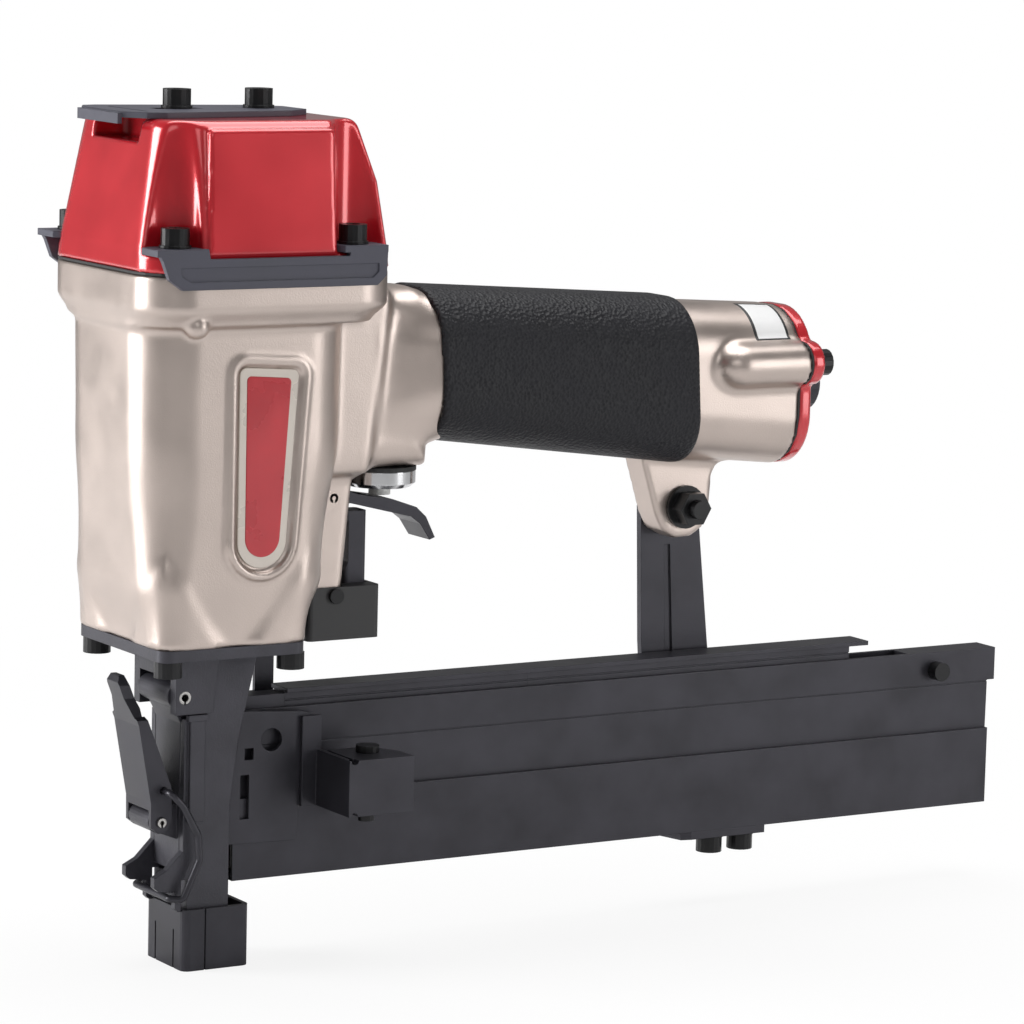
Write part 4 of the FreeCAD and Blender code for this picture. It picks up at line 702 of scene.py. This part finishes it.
class STAPLER_OT_bail(bpy.types.Operator):
    """Bend the round wire bail of the door's latch"""
    bl_idname = "stapler.bail"
    bl_label = "Wire bail"

    def execute(self, context):
        half, end, hook, wire_round = 14.3, 7.2, (-15.6, 22.9), 1.1
        side = [(-16.5, 55.7), (-12.6, 51.6), (-7.6, 42.4), (-7.0, 34.5), (-12.4, 22.9)]
        route = [(side[0][0], -end, side[0][1])] + [(x, -half, z) for x, z in side]
        route += [(hook[0], 3 - half, hook[1]), (hook[0], half - 3, hook[1])]
        route += [(x, half, z) for x, z in side[::-1]] + [(side[0][0], end, side[0][1])]
        radii = [2.2] + [3.4] * 3 + [1.8] * 4 + [3.4] * 3 + [2.2]
        piece = wire("bail_wire", route, radii, wire_round)
        wear(piece, "black_steel", context.scene.stapler_finishes)
        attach(piece, "bail")
        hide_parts("wire_bail")
        return {"FINISHED"}


def area_light(name, power, place, aim, width, height):
    """A rectangular light of the given size in metres that looks at a point."""
    data = bpy.data.lights.new(name, "AREA")
    data.energy = power
    data.shape = "RECTANGLE"
    data.size = width
    data.size_y = height
    light = bpy.data.objects.new(name, data)
    bpy.context.scene.collection.objects.link(light)
    light.location = place
    way = Vector(aim) - Vector(place)
    light.rotation_euler = way.to_track_quat("-Z", "Y").to_euler()
    return light


class STAPLER_OT_stage(bpy.types.Operator):
    """Set the floor, the room, the lights and the camera"""
    bl_idname = "stapler.stage"
    bl_label = "Studio"

    def execute(self, context):
        studio = context.scene.stapler_studio
        self.floor()
        self.room(context.scene, studio)
        area_light("Key", studio.key_power, (-0.55, -1.1, 0.75), (0.08, 0, 0.15), 0.8, 0.6)
        area_light("Strip", studio.side_power, (-1.0, 0.55, 0.35), (0, 0, 0.16), 0.5, 0.9)
        area_light("Right", studio.right_power, (1.0, -1.1, 0.3), (0.15, 0, 0.15), 0.5, 0.9)
        area_light("Top", studio.top_power, (0.25, 0.1, 1.1), (0.1, 0, 0.15), 1.0, 0.8)
        data = bpy.data.cameras.new("Camera")
        data.lens = studio.focal_length
        data.sensor_width = 36
        data.clip_end = 50
        camera = bpy.data.objects.new("Camera", data)
        context.scene.collection.objects.link(camera)
        right = Vector((0.85629647, -0.51590814, 0.02439563))
        up = Vector((0.05258753, 0.13407776, 0.98957451))
        back = Vector((-0.51380045, -0.84608625, 0.14194064))
        turn = Matrix((right, up, back)).transposed().to_4x4()
        camera.matrix_world = Matrix.Translation((-0.6276, -1.2131, 0.3364)) @ turn
        context.scene.camera = camera
        context.scene.view_settings.view_transform = "Standard"
        return {"FINISHED"}

    def floor(self):
        """A pale floor under the foot that keeps the shadow and fades into the backdrop."""
        corners = [(-4000, -4000, 0), (4000, -4000, 0), (4000, 4000, 0), (-4000, 4000, 0)]
        floor = mesh_piece("Floor", corners, [(0, 1, 2, 3)], False)
        material = bpy.data.materials.new("floor")
        material.use_nodes = True
        tree = material.node_tree
        tree.nodes.clear()
        out = tree.nodes.new("ShaderNodeOutputMaterial")
        matt = tree.nodes.new("ShaderNodeBsdfDiffuse")
        socket(matt, "Color", (0.9, 0.9, 0.9, 1))
        glow = tree.nodes.new("ShaderNodeEmission")
        socket(glow, "Color", (1, 1, 1, 1))
        socket(glow, "Strength", 1.0)
        mix = tree.nodes.new("ShaderNodeMixShader")
        place = tree.nodes.new("ShaderNodeTexCoord")
        length = tree.nodes.new("ShaderNodeVectorMath")
        length.operation = "LENGTH"
        tree.links.new(place.outputs["Object"], length.inputs[0])
        fade = tree.nodes.new("ShaderNodeMapRange")
        fade.interpolation_type = "SMOOTHSTEP"
        socket(fade, "From Min", 0.15)
        socket(fade, "From Max", 0.6)
        socket(fade, "To Min", 0.85)
        socket(fade, "To Max", 1.0)
        tree.links.new(length.outputs["Value"], fade.inputs["Value"])
        seen = tree.nodes.new("ShaderNodeLightPath")
        gate = tree.nodes.new("ShaderNodeMath")
        gate.operation = "MULTIPLY"
        tree.links.new(fade.outputs["Result"], gate.inputs[0])
        tree.links.new(seen.outputs["Is Camera Ray"], gate.inputs[1])
        tree.links.new(gate.outputs["Value"], mix.inputs["Fac"])
        tree.links.new(matt.outputs["BSDF"], mix.inputs[1])
        tree.links.new(glow.outputs["Emission"], mix.inputs[2])
        tree.links.new(mix.outputs["Shader"], out.inputs["Surface"])
        floor.data.materials.append(material)

    def room(self, scene, studio):
        """White behind the object; a softer room for everything it lights."""
        world = bpy.data.worlds.new("Room")
        scene.world = world
        world.use_nodes = True
        tree = world.node_tree
        tree.nodes.clear()
        out = tree.nodes.new("ShaderNodeOutputWorld")
        soft = tree.nodes.new("ShaderNodeBackground")
        socket(soft, "Color", (1, 1, 1, 1))
        socket(soft, "Strength", studio.world_strength)
        plain = tree.nodes.new("ShaderNodeBackground")
        socket(plain, "Color", (1, 1, 1, 1))
        socket(plain, "Strength", 1.0)
        mix = tree.nodes.new("ShaderNodeMixShader")
        seen = tree.nodes.new("ShaderNodeLightPath")
        tree.links.new(seen.outputs["Is Camera Ray"], mix.inputs["Fac"])
        tree.links.new(soft.outputs["Background"], mix.inputs[1])
        tree.links.new(plain.outputs["Background"], mix.inputs[2])
        tree.links.new(mix.outputs["Shader"], out.inputs["Surface"])


class STAPLER_PT_panel(bpy.types.Panel):
    """Settings and steps of the stapler's dress-up."""
    bl_idname = "STAPLER_PT_panel"
    bl_label = "Stapler"
    bl_space_type = "VIEW_3D"
    bl_region_type = "UI"
    bl_category = "Stapler"

    def draw(self, context):
        for group in ("stapler_finishes", "stapler_shells", "stapler_studio"):
            settings = getattr(context.scene, group)
            box = self.layout.box()
            for name in settings.__annotations__:
                box.prop(settings, name)
        for kind in OPERATORS:
            self.layout.operator(kind.bl_idname)


GROUPS = {"stapler_finishes": STAPLER_PG_finishes, "stapler_shells": STAPLER_PG_shells,
          "stapler_studio": STAPLER_PG_studio}
OPERATORS = (STAPLER_OT_finishes, STAPLER_OT_casting, STAPLER_OT_cap, STAPLER_OT_grip,
             STAPLER_OT_end, STAPLER_OT_label, STAPLER_OT_bail, STAPLER_OT_stage)


def register():
    for kind in tuple(GROUPS.values()) + OPERATORS + (STAPLER_PT_panel,):
        bpy.utils.register_class(kind)
    for name, kind in GROUPS.items():
        setattr(bpy.types.Scene, name, bpy.props.PointerProperty(type=kind))


def unregister():
    for name in GROUPS:
        delattr(bpy.types.Scene, name)
    for kind in reversed(tuple(GROUPS.values()) + OPERATORS + (STAPLER_PT_panel,)):
        bpy.utils.unregister_class(kind)


def main():
    register()
    bpy.ops.stapler.finishes()
    bpy.ops.stapler.casting()
    bpy.ops.stapler.cap()
    bpy.ops.stapler.grip()
    bpy.ops.stapler.end()
    bpy.ops.stapler.label()
    bpy.ops.stapler.bail()
    bpy.ops.stapler.stage()


if __name__ == "__main__":
    main()
